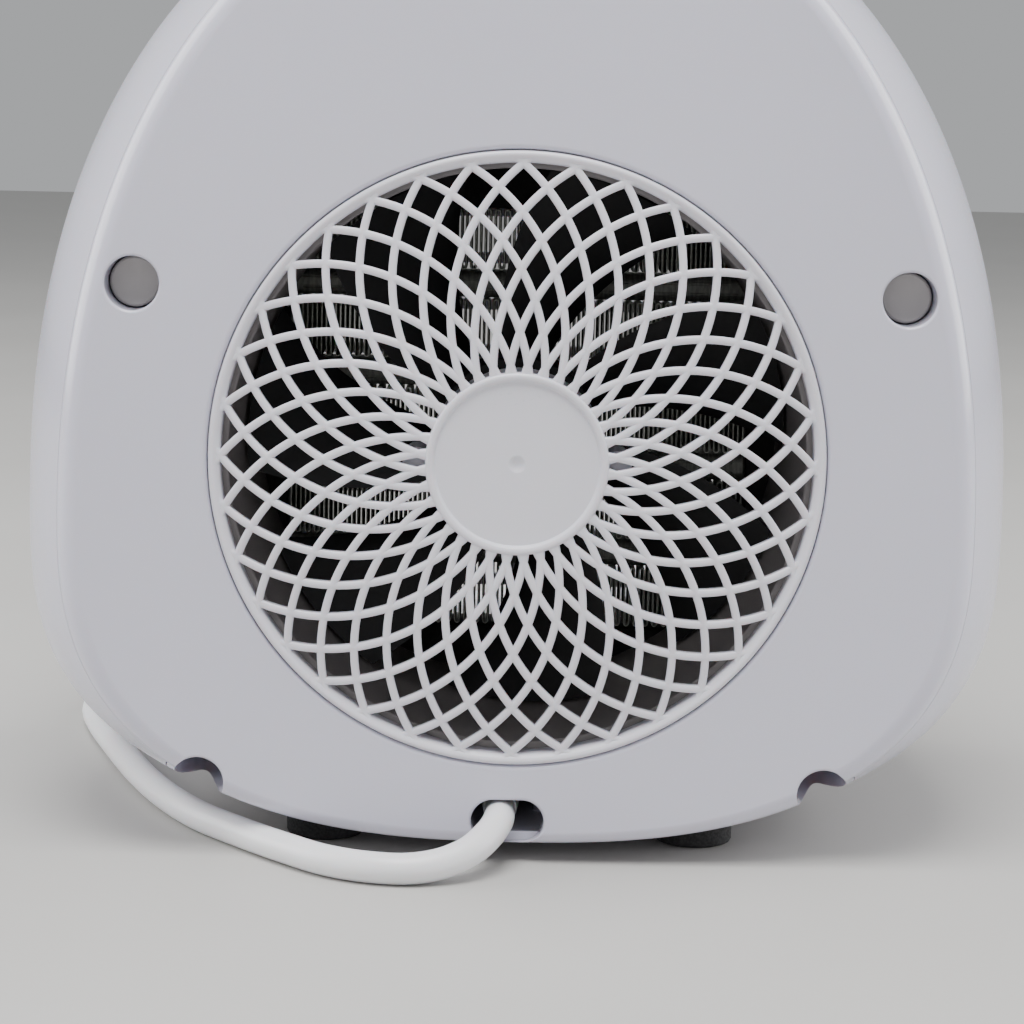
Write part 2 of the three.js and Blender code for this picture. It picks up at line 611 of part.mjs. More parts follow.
function impeller() {
  const [front, rear] = [impellerFront(), IMPELLER.rearY];
  let wheel = turned([
    [MOTOR.shaftRadius + GAP, front], [IMPELLER.collar, front],
    [IMPELLER.collar, rear - IMPELLER.wall],
    [IMPELLER.hubRadius - IMPELLER.wall, rear - IMPELLER.wall],
    [IMPELLER.hubRadius - IMPELLER.wall, front], [IMPELLER.hubRadius, front],
    [IMPELLER.hubRadius, rear], [MOTOR.shaftRadius + GAP, rear], [MOTOR.shaftRadius + GAP, front],
  ], 24);
  for (let i = 0; i < IMPELLER.blades; i += 1) {
    wheel = wheel.add(blade(205.7 + (i * 360) / IMPELLER.blades));
  }
  return wheel;
}

function fanDuct() {
  const outerRadius = DUCT.innerRadius + DUCT.wall;
  const plate = roundedRectangle(
    2 * (SCREW_X + POST.screwInset), 2 * (SCREW_Z + POST.screwInset), PLATE_CORNER);
  const tube = bar(outerRadius, PLATE_FRONT, DUCT_REAR, FAN.sides);
  let duct = slab(plate, PLATE_FRONT, DUCT.frontY, 3).add(tube)
    .subtract(bar(DUCT.innerRadius, PLATE_FRONT - 1, DUCT_REAR + 1, FAN.sides));
  for (const [x, z] of elementScrews) {
    duct = duct.subtract(bar(SMALL_SCREW.shankRadius + GAP, PLATE_FRONT - 1, DUCT.frontY + 1, 10)
      .translate([x, FAN.height - z, 0]));
  }
  return duct;
}

// ---- Heating element, in the fan's own frame ----------------------------------------------

function elementFrame() {
  const [w, h] = [ELEMENT.width + 2 * ELEMENT.wall, ELEMENT.height + 2 * ELEMENT.wall];
  let frame = slab(roundedRectangle(w + 2 * ELEMENT.flange, h + 2 * ELEMENT.flange, PLATE_CORNER),
    FLANGE_FRONT, ELEMENT_REAR, 3)
    .add(slab(roundedRectangle(w, h, ELEMENT.corner), ELEMENT_REAR - ELEMENT.depth, ELEMENT_REAR - 1, 3))
    .subtract(block(
      [-ELEMENT.width / 2, -ELEMENT.height / 2, ELEMENT_REAR - ELEMENT.depth - 1],
      [ELEMENT.width / 2, ELEMENT.height / 2, ELEMENT_REAR + 1],
    ));
  for (const [x, z] of elementScrews) {
    frame = frame.subtract(bar(SMALL_SCREW.shankRadius + GAP, FLANGE_FRONT - 1, ELEMENT_REAR + 1, 10)
      .translate([x, FAN.height - z, 0]));
  }
  return frame;
}

const bankBottom = (i) => -ELEMENT.height / 2 + GAP + i * (BANK_HEIGHT + ELEMENT.barHeight + 2 * GAP);
const ELEMENT_LOW = ELEMENT_REAR - ELEMENT.depth + ELEMENT.barInset;
const ELEMENT_HIGH = ELEMENT_REAR - ELEMENT.barInset;

/** A corrugated fin strip folded up and down between two heater bars. */
function finBank(i) {
  const reach = ELEMENT.width / 2 - GAP;
  const low = bankBottom(i);
  const rise = BANK_HEIGHT - ELEMENT.finThickness;
  const line = Array.from({ length: ELEMENT.folds * 2 + 1 }, (_, k) => new THREE.Vector2(
    mix(-reach, reach, k / (ELEMENT.folds * 2)), low + (k % 2) * rise));
  const back = line.map((p) => new THREE.Vector2(p.x, p.y + ELEMENT.finThickness)).reverse();
  return slab(new THREE.Shape([...line, ...back]), ELEMENT_LOW, ELEMENT_HIGH);
}

function heaterBar(i) {
  const low = bankBottom(i) + BANK_HEIGHT + GAP;
  const reach = ELEMENT.width / 2 - GAP;
  return block([-reach, low, ELEMENT_LOW], [reach, low + ELEMENT.barHeight, ELEMENT_HIGH]);
}

function thermalCutout() {
  const foot = ELEMENT.height / 2 + ELEMENT.wall + GAP;
  const y = FLANGE_FRONT - GAP - CUTOUT.lift;
  return block([CUTOUT.x - CUTOUT.width / 2, -foot - CUTOUT.height, y - CUTOUT.depth],
    [CUTOUT.x + CUTOUT.width / 2, -foot, y])
    .add(bar(CUTOUT.height * CUTOUT.sensorShare, y - CUTOUT.depth - CUTOUT.sensorReach,
      y - CUTOUT.depth + 1, 16).translate([CUTOUT.x, -foot - CUTOUT.height / 2, 0]));
}

// ---- Front outlet grille, in the fan's own frame -------------------------------------------

function frontGrille() {
  const back = FRONT_Y + BODY.wall + GAP;
  const pitch = (2 * OUTLET.openRadius) / OUTLET.slats;
  const half = OUTLET.slatWidth / 2;
  let lattice = block([-OUTLET.rib / 2, -OUTLET.ringRadius, FRONT_Y + 2 * OUTLET.recess],
    [OUTLET.rib / 2, OUTLET.ringRadius, FRONT_Y + OUTLET.slatDepth]);
  for (let i = 1; i < OUTLET.slats; i += 1) {
    const middle = -OUTLET.openRadius + i * pitch;
    lattice = lattice.add(block([-OUTLET.ringRadius, middle - half, FRONT_Y + OUTLET.recess],
      [OUTLET.ringRadius, middle + half, FRONT_Y + OUTLET.slatDepth + OUTLET.recess]));
  }
  const middleRadius = (OUTLET.openRadius + OUTLET.ringRadius) / 2;
  const ring = turned([
    [OUTLET.openRadius, FRONT_Y], [OUTLET.ringRadius, FRONT_Y], [OUTLET.ringRadius, back],
    [OUTLET.ringRadius + OUTLET.flange, back],
    [OUTLET.ringRadius + OUTLET.flange, back + OUTLET.flangeThickness],
    [OUTLET.openRadius, back + OUTLET.flangeThickness], [OUTLET.openRadius, FRONT_Y],
  ], FAN.sides);
  return lattice.intersect(bar(middleRadius, FRONT_Y - 1, back + OUTLET.slatDepth, FAN.sides)).add(ring);
}

// ---- Controls -----------------------------------------------------------------------------

function panelOutline(grow, low, high) {
  const outline = roundedRectangle(PANEL.width + 2 * grow, PANEL.depth + 2 * grow,
    PANEL.depth / 2 + grow - 0.01);
  return slab(outline, low, high, 3).translate([0, PANEL.y, 0]);
}

function controlPanel() {
  let panel = panelOutline(0, PANEL_BOTTOM, BODY.top + OVERRUN).intersect(outer)
    .subtract(panelOutline(-PANEL.rim, PANEL_TOP, BODY.top + 2 * OVERRUN));
  for (const side of [-1, 1]) {
    panel = panel.subtract(bar(KNOB.shaftRadius + GAP, PANEL_BOTTOM - 1, PANEL_TOP + 1, 16)
      .translate([side * KNOB.spread, PANEL.y, 0]));
  }
  return panel.subtract(bar(LENS.radius + GAP, PANEL_BOTTOM - 1, PANEL_TOP + 1, 16)
    .translate([0, PANEL.y, 0]));
}

/** A fluted control knob with a raised pointer, about local Z from its underside. */
function knob() {
  const bore = KNOB.shaftRadius + GAP;
  const crown = turned([
    [bore, 0], [KNOB.skirtRadius, 0], [KNOB.skirtRadius, KNOB.skirt],
    [KNOB.radius, KNOB.skirt + KNOB.edge], [KNOB.radius - KNOB.edge, KNOB.height - KNOB.edge],
    [KNOB.radius - 2 * KNOB.edge, KNOB.height], [0, KNOB.height],
    [0, KNOB.height - KNOB.crown], [bore, KNOB.height - KNOB.crown], [bore, 0],
  ], 16);
  return crown.add(block([-KNOB.pointer, 2, KNOB.height - KNOB.edge],
    [KNOB.pointer, KNOB.radius - KNOB.pointerInset, KNOB.height + KNOB.pointerRise]));
}

function shaft() {
  return bar(KNOB.shaftRadius, SWITCH_TOP - SWITCH.shaftSink, PANEL_TOP + KNOB.height - KNOB.crown, 16);
}

function switchBody(boss) {
  const [w, d] = [SWITCH.width / 2, SWITCH.depth / 2];
  return block([-w, -d, SWITCH_TOP - SWITCH.height], [w, d, SWITCH_TOP])
    .add(bar(boss, SWITCH_TOP - SWITCH.height - SWITCH.boss, SWITCH_TOP - SWITCH.height + 1, 16))
    .subtract(bar(KNOB.shaftRadius + GAP, SWITCH_TOP - SWITCH.shaftSink - 1, SWITCH_TOP + 1, 16));
}

function indicatorLens() {
  return turned([
    [0, PANEL_BOTTOM - LENS.sink], [LENS.radius, PANEL_BOTTOM - LENS.sink],
    [LENS.radius, PANEL_TOP + LENS.proud - LENS.edge],
    [LENS.radius - LENS.edge, PANEL_TOP + LENS.proud], [0, PANEL_TOP + LENS.proud + LENS.crown],
  ], 16);
}

// ---- Base and wiring pieces ---------------------------------------------------------------

function tipSwitchBody() {
  const low = FLOOR + TIP.lift;
  return block([-TIP.width / 2, -TIP.depth / 2, low], [TIP.width / 2, TIP.depth / 2, low + TIP.height])
    .subtract(bar(TIP.plungerRadius + GAP, low - 1, low + TIP.height - TIP.roof, 14));
}

/** The sprung plunger, pressed in by the table when the heater stands. */
function tipPlunger() {
  return turned([
    [0, GAP], [TIP.plungerRadius - TIP.plungerEdge, GAP], [TIP.plungerRadius, GAP + TIP.plungerEdge],
    [TIP.plungerRadius, FLOOR + TIP.plungerTop], [0, FLOOR + TIP.plungerTop],
  ], 14);
}

function terminalBlock() {
  const low = FLOOR + TERMINAL.lift;
  let body = block([-TERMINAL.width / 2, -TERMINAL.depth / 2, low],
    [TERMINAL.width / 2, TERMINAL.depth / 2, low + TERMINAL.height]);
  for (let i = 0; i < TERMINAL.ways; i += 1) {
    const x = (i - (TERMINAL.ways - 1) / 2) * (TERMINAL.width / TERMINAL.ways);
    body = body.subtract(bar(TERMINAL.bore, low + TERMINAL.base, low + TERMINAL.height + 1, 10)
      .translate([x, 0, 0]));
  }
  return body;
}

const sleeveFront = () => CORD.startY - GAP - SLEEVE.length;
const clampY = () => sleeveFront() + SLEEVE.length * CLAMP.place;

function strainRelief() {
  return turned([
    [0, 0], [SLEEVE.bigRadius, 0], [SLEEVE.bigRadius, SLEEVE.straight],
    [SLEEVE.smallRadius, SLEEVE.length], [0, SLEEVE.length],
  ], 20);
}

function cordClamp() {
  const [w, d] = [CLAMP.width / 2, CLAMP.depth / 2];
  const [low, high] = [CLAMP.foot, CLAMP.foot + CLAMP.height];
  let clamp = block([CORD.exitX - w, clampY() - d, low], [CORD.exitX + w, clampY() + d, high])
    .subtract(rodAlongY(SLEEVE.bigRadius + GAP, CORD.exitX, CORD.exitHeight,
      clampY() - d - 1, clampY() + d + 1, 20));
  for (const reach of [-CLAMP.screwReach, CLAMP.screwReach]) {
    clamp = clamp.subtract(bar(SMALL_SCREW.shankRadius + GAP, low - 1, high + 1, 10)
      .translate([CORD.exitX + reach, clampY(), 0]));
  }
  return clamp;
}

// ---- Cord ---------------------------------------------------------------------------------

function mainsCord() {
  const path = new THREE.CatmullRomCurve3(ROUTE.map((p) => new THREE.Vector3(...p)), false, 'centripetal');
  const section = new THREE.Shape(Array.from({ length: CORD.sides }, (_, i) => {
    const turn = (i / CORD.sides) * 2 * Math.PI;
    return new THREE.Vector2(CORD.radius * Math.cos(turn), CORD.radius * Math.sin(turn));
  }));
  const steps = Math.round(path.getLength() / CORD.step);
  return new THREE.ExtrudeGeometry(section, { extrudePath: path, steps, bevelEnabled: false });
}

const COIL_HALF = COIL.turnsWide * CORD.radius;
const COIL_TOP = COIL.lift + 2 * CORD.radius + (COIL.layers - 1) * Math.sqrt(3) * CORD.radius;

function cordCoil() {
  return washer(COIL.radius - COIL_HALF, COIL.radius + COIL_HALF, COIL.lift, COIL_TOP, FAN.sides);
}

/** A strap right round the bundle of turns, flat on the table side. */
function cordTie() {
  const inner = COIL_HALF + GAP + TIE.slack;
  const outside = inner + TIE.thickness;
  const strap = block([-outside, -TIE.width / 2, TIE.lift],
    [outside, TIE.width / 2, COIL_TOP + GAP + TIE.thickness]);
  return strap.subtract(block([-inner, -TIE.width, COIL.lift - GAP],
    [inner, TIE.width, COIL_TOP + GAP]));
}

/** The plug's body about local Z: the cord enters the nose at z = 0 and the pins point to +Z. */
function plugBody() {
  const face = PLUG.noseLength + PLUG.length;
  let body = turned([
    [0, 0], [PLUG.noseRadius, 0], [PLUG.noseRadius + PLUG.noseFlare, PLUG.noseLength],
    ...PLUG.grip.map(([share, along]) => [PLUG.radius * share, PLUG.noseLength + along]),
    [PLUG.radius, face], [0, face],
  ], 20);
  for (const side of [-1, 1]) {
    body = body.subtract(bar(PIN.radius + GAP, face - PIN.sink - GAP, face + 1, 12)
      .translate([side * PIN.spread, 0, 0]));
  }
  return body;
}

function plugPin() {
  const face = PLUG.noseLength + PLUG.length;
  return turned([
    [0, face - PIN.sink], [PIN.radius, face - PIN.sink], [PIN.radius, face + PIN.length - PIN.tip],
    [PIN.radius - PIN.tip / 2, face + PIN.length], [0, face + PIN.length],
  ], 12);
}

// ---- Assembly -----------------------------------------------------------------------------

const heater = new THREE.Group();

/** Adds one named piece to a group. */
function place(group, name, shape, material, position = [0, 0, 0]) {
  const geometry = shape.isBufferGeometry ? shape : geometryOf(shape);
  const mesh = new THREE.Mesh(geometry, material);
  mesh.name = name;
  mesh.position.set(...position);
  group.add(mesh);
  return mesh;
}

place(heater, 'rear_cover', rearCover(), whitePlastic);
place(heater, 'housing_shell', housingShell(), whitePlastic);
feet.forEach(([x, y], i) => place(heater, `rubber_foot_${i + 1}`, rubberFoot(x, y), rubber));

// The fan's frame: local Z points to the rear along the fan's axis.
const fanAxis = new THREE.Group();
fanAxis.position.set(0, 0, FAN.height);
fanAxis.rotation.x = -Math.PI / 2;
heater.add(fanAxis);

place(fanAxis, 'rear_grille', rearGrille(), whitePlastic);
place(fanAxis, 'fan_motor', motorBody(), steel);
place(fanAxis, 'motor_shaft', bar(MOTOR.shaftRadius, shaftFront(), shaftRear(), 12), steel);
place(fanAxis, 'motor_retainer', motorRetainer(), steel);
place(fanAxis, 'impeller', impeller(), darkPlastic);
place(fanAxis, 'impeller_clip', washer(MOTOR.shaftRadius + GAP, IMPELLER.clipRadius,
  impellerFront() - GAP - IMPELLER.clipThickness, impellerFront() - GAP, 16), steel);
place(fanAxis, 'fan_duct', fanDuct(), ductPlastic);
place(fanAxis, 'element_frame', elementFrame(), greyPlastic);
place(fanAxis, 'thermal_cutout', thermalCutout(), darkPlastic);
place(fanAxis, 'front_grille', frontGrille(), whitePlastic);
for (let i = 0; i < ELEMENT.banks; i += 1) {
  place(fanAxis, `fin_bank_${i + 1}`, finBank(i), aluminium);
  if (i + 1 < ELEMENT.banks) place(fanAxis, `heater_bar_${i + 1}`, heaterBar(i), aluminium);
}
[-1, 1].forEach((side, i) => {
  const mesh = place(fanAxis, `motor_screw_${i + 1}`, screw(SMALL_SCREW), steel,
    [side * CUP.earReach, 0, RETAINER_REAR - RETAINER.thickness - GAP]);
  mesh.rotation.x = Math.PI;
});
elementScrews.forEach(([x, z], i) => place(fanAxis, `element_screw_${i + 1}`, screw(SMALL_SCREW),
  steel, [x, FAN.height - z, DUCT.frontY + GAP]));
wells.forEach(([x, z], i) => place(fanAxis, `housing_screw_${i + 1}`, screw(SCREW), steel,
  [x, FAN.height - z, WELL_FRONT + WELL.floor + GAP]));

wells.slice(0, 2).forEach(([x, z], i) => place(fanAxis, `well_plug_${i + 1}`, wellPlug(), whitePlastic,
  [x, FAN.height - z, REAR_Y - WELL_PLUG.sink]));

const controls = new THREE.Group();
controls.position.set(0, PANEL.y, 0);
heater.add(controls);
place(heater, 'control_panel', controlPanel(), whitePlastic);
place(controls, 'mode_knob', knob(), darkPlastic, [KNOB.spread, 0, PANEL_TOP + GAP]);
place(controls, 'mode_shaft', shaft(), steel, [KNOB.spread, 0, 0]);
place(controls, 'mode_switch', switchBody(SWITCH.modeBoss), darkPlastic, [KNOB.spread, 0, 0]);
place(controls, 'thermostat_knob', knob(), darkPlastic, [-KNOB.spread, 0, PANEL_TOP + GAP]);
place(controls, 'thermostat_shaft', shaft(), steel, [-KNOB.spread, 0, 0]);
place(controls, 'thermostat', switchBody(SWITCH.thermostatBoss), brass, [-KNOB.spread, 0, 0]);
place(controls, 'indicator_lens', indicatorLens(), redLens);

place(heater, 'tip_switch', tipSwitchBody(), darkPlastic, [TIP.x, TIP.y, 0]);
place(heater, 'tip_plunger', tipPlunger(), darkPlastic, [TIP.x, TIP.y, 0]);
place(heater, 'terminal_block', terminalBlock(), whitePlastic, [TERMINAL.x, TERMINAL.y, 0]);
place(heater, 'cord_clamp', cordClamp(), darkPlastic);
[-CLAMP.screwReach, CLAMP.screwReach].forEach((reach, i) => place(heater, `clamp_screw_${i + 1}`,
  screw(SMALL_SCREW), steel, [CORD.exitX + reach, clampY(), CLAMP.foot + CLAMP.height + GAP]));
const sleeve = place(heater, 'strain_relief', strainRelief(), whiteCord,
  [CORD.exitX, sleeveFront(), CORD.exitHeight]);
sleeve.rotation.x = -Math.PI / 2;

place(heater, 'mains_cord', mainsCord(), whiteCord);
place(heater, 'cord_coil', cordCoil(), whiteCord, [COIL.x, COIL.y, 0]);
const tieTurn = THREE.MathUtils.degToRad(TIE.turn);
const tie = place(heater, 'cord_tie', cordTie(), darkPlastic, [
  COIL.x + COIL.radius * Math.cos(tieTurn), COIL.y + COIL.radius * Math.sin(tieTurn), 0]);
tie.rotation.z = tieTurn;

const mainsPlug = new THREE.Group();
mainsPlug.position.set(PLUG.x, COIL.y - COIL.radius - CORD.radius, PLUG.radius + PLUG.lift);
mainsPlug.rotation.y = -Math.PI / 2;
heater.add(mainsPlug);
place(mainsPlug, 'plug_body', plugBody(), whiteCord);
[-1, 1].forEach((side, i) => place(mainsPlug, `plug_pin_${i + 1}`, plugPin(), brass,
  [side * PIN.spread, 0, 0]));

export default heater;
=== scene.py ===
"""A small fan convector heater, seen from its rear: looks built round the fixed CAD frame.

Metres, +Z up. The fan draws through the round grille in the rear (+Y) and blows out at the front (-Y).
"""

import logging
import math
from dataclasses import dataclass, field
from enum import Enum
from typing import Iterable, Sequence

import bmesh
import bpy
import numpy as np
from mathutils import Matrix, Vector


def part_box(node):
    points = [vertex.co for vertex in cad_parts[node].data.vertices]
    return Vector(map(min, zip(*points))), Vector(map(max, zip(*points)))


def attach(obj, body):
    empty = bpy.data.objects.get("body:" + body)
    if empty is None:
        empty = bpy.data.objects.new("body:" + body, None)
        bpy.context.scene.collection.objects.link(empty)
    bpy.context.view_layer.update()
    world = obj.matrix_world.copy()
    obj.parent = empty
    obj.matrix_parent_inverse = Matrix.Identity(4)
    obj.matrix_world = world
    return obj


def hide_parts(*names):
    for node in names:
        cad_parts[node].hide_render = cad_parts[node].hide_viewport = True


logging.basicConfig(level=logging.INFO, format="%(levelname)s %(message)s")
log = logging.getLogger("heater")

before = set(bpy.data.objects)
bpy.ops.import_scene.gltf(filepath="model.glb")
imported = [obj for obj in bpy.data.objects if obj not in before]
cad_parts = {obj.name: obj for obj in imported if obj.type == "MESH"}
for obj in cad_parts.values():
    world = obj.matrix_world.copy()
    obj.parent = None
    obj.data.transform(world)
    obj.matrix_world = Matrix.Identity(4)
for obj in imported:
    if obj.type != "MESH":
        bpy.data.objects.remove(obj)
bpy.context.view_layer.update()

Point = tuple[float, float, float]
Flat = tuple[float, float]
Colour = tuple[float, float, float]

GAP = 0.0003  # clearance between touching pieces
HOUSING = "housing"


# ---- Finishes -------------------------------------------------------------------------------


class Grain(Enum):
    """How the colour of a finish is broken up."""

    CLOUDY = "cloudy"
    STREAKED = "streaked"
    SPECKLED = "speckled"


@dataclass(frozen=True)
class Finish:
    """A surface finish whose colour, roughness and relief all come from noise in object space.

    Colours are linear. Sizes of grain are features per metre, and relief is in metres.
    """

    name: str
    colour: Colour
    worn: Colour
    roughness: tuple[float, float]
    slot: str
    grain: Grain = Grain.CLOUDY
    scale: float = 60.0
    stretch: Point = (1.0, 1.0, 1.0)
    relief: float = 0.00002
    relief_scale: float = 1800.0
    metallic: float = 0.0
    coat: float = 0.0
    coat_roughness: float = 0.1
    subsurface: float = 0.0
    transmission: float = 0.0
    glow: float = 0.0

    def build(self) -> bpy.types.Material:
        """Makes the node material of this finish.

        Returns:
            The material, ready to be put on a mesh.
        """
        material = bpy.data.materials.new(self.name)
        material.use_nodes = True
        tree = material.node_tree
        shader = tree.nodes["Principled BSDF"]
        self._set_even_values(shader)
        where = self._coordinates(tree)
        broad = self._noise(tree, where, self.scale, 4.0)
        fine = self._noise(tree, where, self.relief_scale, 2.0)
        self._paint(tree, shader, broad)
        self._roughen(tree, shader, broad, fine)
        self._emboss(tree, shader, fine)
        return material

    def _set_even_values(self, shader: bpy.types.Node) -> None:
        """Sets what is the same all over, straight on the shader's own sockets.

        Args:
            shader: the finish's shader node.
        """
        values = {
            "Metallic": self.metallic,
            "Coat Weight": self.coat,
            "Coat Roughness": self.coat_roughness,
            "Subsurface Weight": self.subsurface,
            "Subsurface Scale": 0.002,
            "Transmission Weight": self.transmission,
            "Emission Strength": self.glow,
        }
        for socket, value in values.items():
            shader.inputs[socket].default_value = value
        shader.inputs["Emission Color"].default_value = (*self.colour, 1.0)

    def _coordinates(self, tree: bpy.types.NodeTree) -> bpy.types.NodeSocket:
        """Object coordinates, drawn out along the finish's own direction.

        Args:
            tree: the material's nodes.

        Returns:
            The vector socket to read patterns from.
        """
        source = tree.nodes.new("ShaderNodeTexCoord")
        mapping = tree.nodes.new("ShaderNodeMapping")
        mapping.inputs["Scale"].default_value = self.stretch
        tree.links.new(source.outputs["Object"], mapping.inputs["Vector"])
        return mapping.outputs["Vector"]

    def _noise(
        self, tree: bpy.types.NodeTree, where: bpy.types.NodeSocket, scale: float, detail: float
    ) -> bpy.types.NodeSocket:
        """A noise or cell pattern, by the kind of grain.

        Args:
            tree: the material's nodes.
            where: the coordinates to read.
            scale: features per metre.
            detail: octaves of the noise.

        Returns:
            A value socket from 0 to 1.
        """
        if self.grain is Grain.SPECKLED:
            node = tree.nodes.new("ShaderNodeTexVoronoi")
            output = node.outputs["Distance"]
        else:
            node = tree.nodes.new("ShaderNodeTexNoise")
            node.inputs["Detail"].default_value = detail
            output = node.outputs["Fac"]
        node.inputs["Scale"].default_value = scale
        tree.links.new(where, node.inputs["Vector"])
        return output

    def _paint(
        self, tree: bpy.types.NodeTree, shader: bpy.types.Node, broad: bpy.types.NodeSocket
    ) -> None:
        """Blends the two colours over the broad pattern.

        Args:
            tree: the material's nodes.
            shader: its shader node.
            broad: the broad pattern.
        """
        ramp = tree.nodes.new("ShaderNodeValToRGB")
        low, high = ramp.color_ramp.elements
        spread = 0.08 if self.grain is Grain.STREAKED else 0.22
        low.position, high.position = 0.5 - spread, 0.5 + spread
        low.color, high.color = (*self.worn, 1.0), (*self.colour, 1.0)
        tree.links.new(broad, ramp.inputs["Fac"])
        tree.links.new(ramp.outputs["Color"], shader.inputs["Base Color"])

    def _roughen(
        self,
        tree: bpy.types.NodeTree,
        shader: bpy.types.Node,
        broad: bpy.types.NodeSocket,
        fine: bpy.types.NodeSocket,
    ) -> None:
        """Varies the roughness over both patterns, from the smoothest to the roughest.

        Args:
            tree: the material's nodes.
            shader: its shader node.
            broad: the broad pattern.
            fine: the fine pattern.
        """
        both = tree.nodes.new("ShaderNodeMath")
        both.operation = "ADD"
        tree.links.new(broad, both.inputs[0])
        tree.links.new(fine, both.inputs[1])
        spread = tree.nodes.new("ShaderNodeMapRange")
        spread.inputs["From Min"].default_value = 0.6
        spread.inputs["From Max"].default_value = 1.4
        spread.inputs["To Min"].default_value = self.roughness[0]
        spread.inputs["To Max"].default_value = self.roughness[1]
        tree.links.new(both.outputs["Value"], spread.inputs["Value"])
        tree.links.new(spread.outputs["Result"], shader.inputs["Roughness"])

    def _emboss(
        self, tree: bpy.types.NodeTree, shader: bpy.types.Node, fine: bpy.types.NodeSocket
    ) -> None:
        """Raises the fine pattern as bump of the finish's relief.

        Args:
            tree: the material's nodes.
            shader: its shader node.
            fine: the fine pattern.
        """
        bump = tree.nodes.new("ShaderNodeBump")
        bump.inputs["Strength"].default_value = 0.6
        bump.inputs["Distance"].default_value = self.relief
        tree.links.new(fine, bump.inputs["Height"])
        tree.links.new(bump.outputs["Normal"], shader.inputs["Normal"])


GLOSSY_WHITE = Finish(
    "glossy_white_shell", (0.62, 0.612, 0.71), (0.595, 0.587, 0.68), (0.16, 0.26), "white_gloss",
    scale=14.0, relief=0.000008, relief_scale=900.0, coat=0.25, coat_roughness=0.12, subsurface=0.12,
)
GRILLE_WHITE = Finish(
    "satin_white_grille", (0.72, 0.71, 0.77), (0.69, 0.68, 0.74), (0.26, 0.36), "white_gloss",
    scale=30.0, relief=0.00001, relief_scale=1200.0, subsurface=0.12,
)
PLAIN_WHITE = Finish(
    "plain_white_plastic", (0.62, 0.62, 0.65), (0.57, 0.57, 0.6), (0.4, 0.55), "white_matte",
    relief=0.00002,
)
# Painted shade: a warm grey that stands for the shade and warm bounce light inside the deep screw wells, laid
# on the well plugs.
WELL_SHADE_PLUG_GREY = Finish(
    "painted_well_shade_plug", (0.41, 0.39, 0.38), (0.36, 0.342, 0.332), (0.4, 0.55), "white_matte",
    scale=120.0, relief=0.00002,
)
CORD_WHITE = Finish(
    "white_cord_jacket", (0.83, 0.83, 0.85), (0.79, 0.79, 0.81), (0.28, 0.4), "cord_white",
    scale=45.0, relief=0.00003, relief_scale=700.0, subsurface=0.15,
)
FAN_BLACK = Finish(
    "black_moulded_fan", (0.006, 0.006, 0.007), (0.004, 0.004, 0.005), (0.5, 0.65), "dark_plastic",
    relief=0.00003, relief_scale=1400.0,
)
KNOB_GREY = Finish(
    "dark_grey_knob", (0.035, 0.036, 0.04), (0.026, 0.027, 0.03), (0.35, 0.5), "dark_plastic",
    relief=0.00004, relief_scale=2600.0,
)
DUCT_BROWN = Finish(
    "grey_brown_duct", (0.36, 0.335, 0.33), (0.31, 0.288, 0.283), (0.45, 0.6), "duct_plastic",
    scale=50.0, relief=0.00003, relief_scale=1500.0,
)
FRAME_BROWN = Finish(
    "dark_heatproof_frame", (0.012, 0.0115, 0.011), (0.009, 0.0085, 0.008), (0.6, 0.75), "element_plastic",
    grain=Grain.SPECKLED, scale=900.0, relief=0.00003,
)
RUBBER = Finish(
    "black_rubber", (0.022, 0.022, 0.023), (0.03, 0.03, 0.031), (0.7, 0.9), "rubber",
    grain=Grain.SPECKLED, scale=1500.0, relief=0.00005,
)
STEEL = Finish(
    "zinc_plated_steel", (0.55, 0.55, 0.57), (0.46, 0.46, 0.47), (0.25, 0.42), "steel",
    grain=Grain.STREAKED, scale=500.0, stretch=(1.0, 6.0, 1.0), relief=0.00001, metallic=1.0,
)
BRASS = Finish(
    "turned_brass", (0.66, 0.46, 0.2), (0.5, 0.35, 0.16), (0.22, 0.38), "brass",
    grain=Grain.STREAKED, scale=700.0, stretch=(1.0, 5.0, 5.0), relief=0.000008, metallic=1.0,
)
FIN_SILVER = Finish(
    "folded_fin_aluminium", (0.80, 0.82, 0.75), (0.6, 0.62, 0.56), (0.38, 0.6), "aluminium",
    grain=Grain.STREAKED, scale=260.0, stretch=(0.4, 2.0, 3.0), relief=0.00004, metallic=0.75,
)
BAR_SILVER = Finish(
    "heater_bar_aluminium", (0.42, 0.43, 0.4), (0.3, 0.31, 0.285), (0.45, 0.65), "aluminium",
    grain=Grain.STREAKED, scale=300.0, stretch=(4.0, 1.0, 1.0), relief=0.00003, metallic=0.7,
)
RED_LENS = Finish(
    "red_indicator_lens", (0.7, 0.03, 0.02), (0.6, 0.02, 0.015), (0.08, 0.16), "lens",
    relief=0.00001, transmission=0.6, glow=0.05, coat=0.3,
)
FINISHES = (
    GLOSSY_WHITE, GRILLE_WHITE, PLAIN_WHITE, WELL_SHADE_PLUG_GREY, CORD_WHITE, FAN_BLACK, KNOB_GREY, DUCT_BROWN,
    FRAME_BROWN, RUBBER, STEEL, BRASS, FIN_SILVER, BAR_SILVER, RED_LENS,
)


@dataclass
class Paintbox:
    """The built materials, each made once."""

    made: dict[str, bpy.types.Material] = field(default_factory=dict)

    def material(self, finish: Finish) -> bpy.types.Material:
        """The material of a finish, made the first time it is asked for.

        Args:
            finish: the finish that is wanted.

        Returns:
            Its one shared material.
        """
        if finish.name not in self.made:
            self.made[finish.name] = finish.build()
        return self.made[finish.name]


PAINTS = Paintbox()


# ---- Meshes ---------------------------------------------------------------------------------


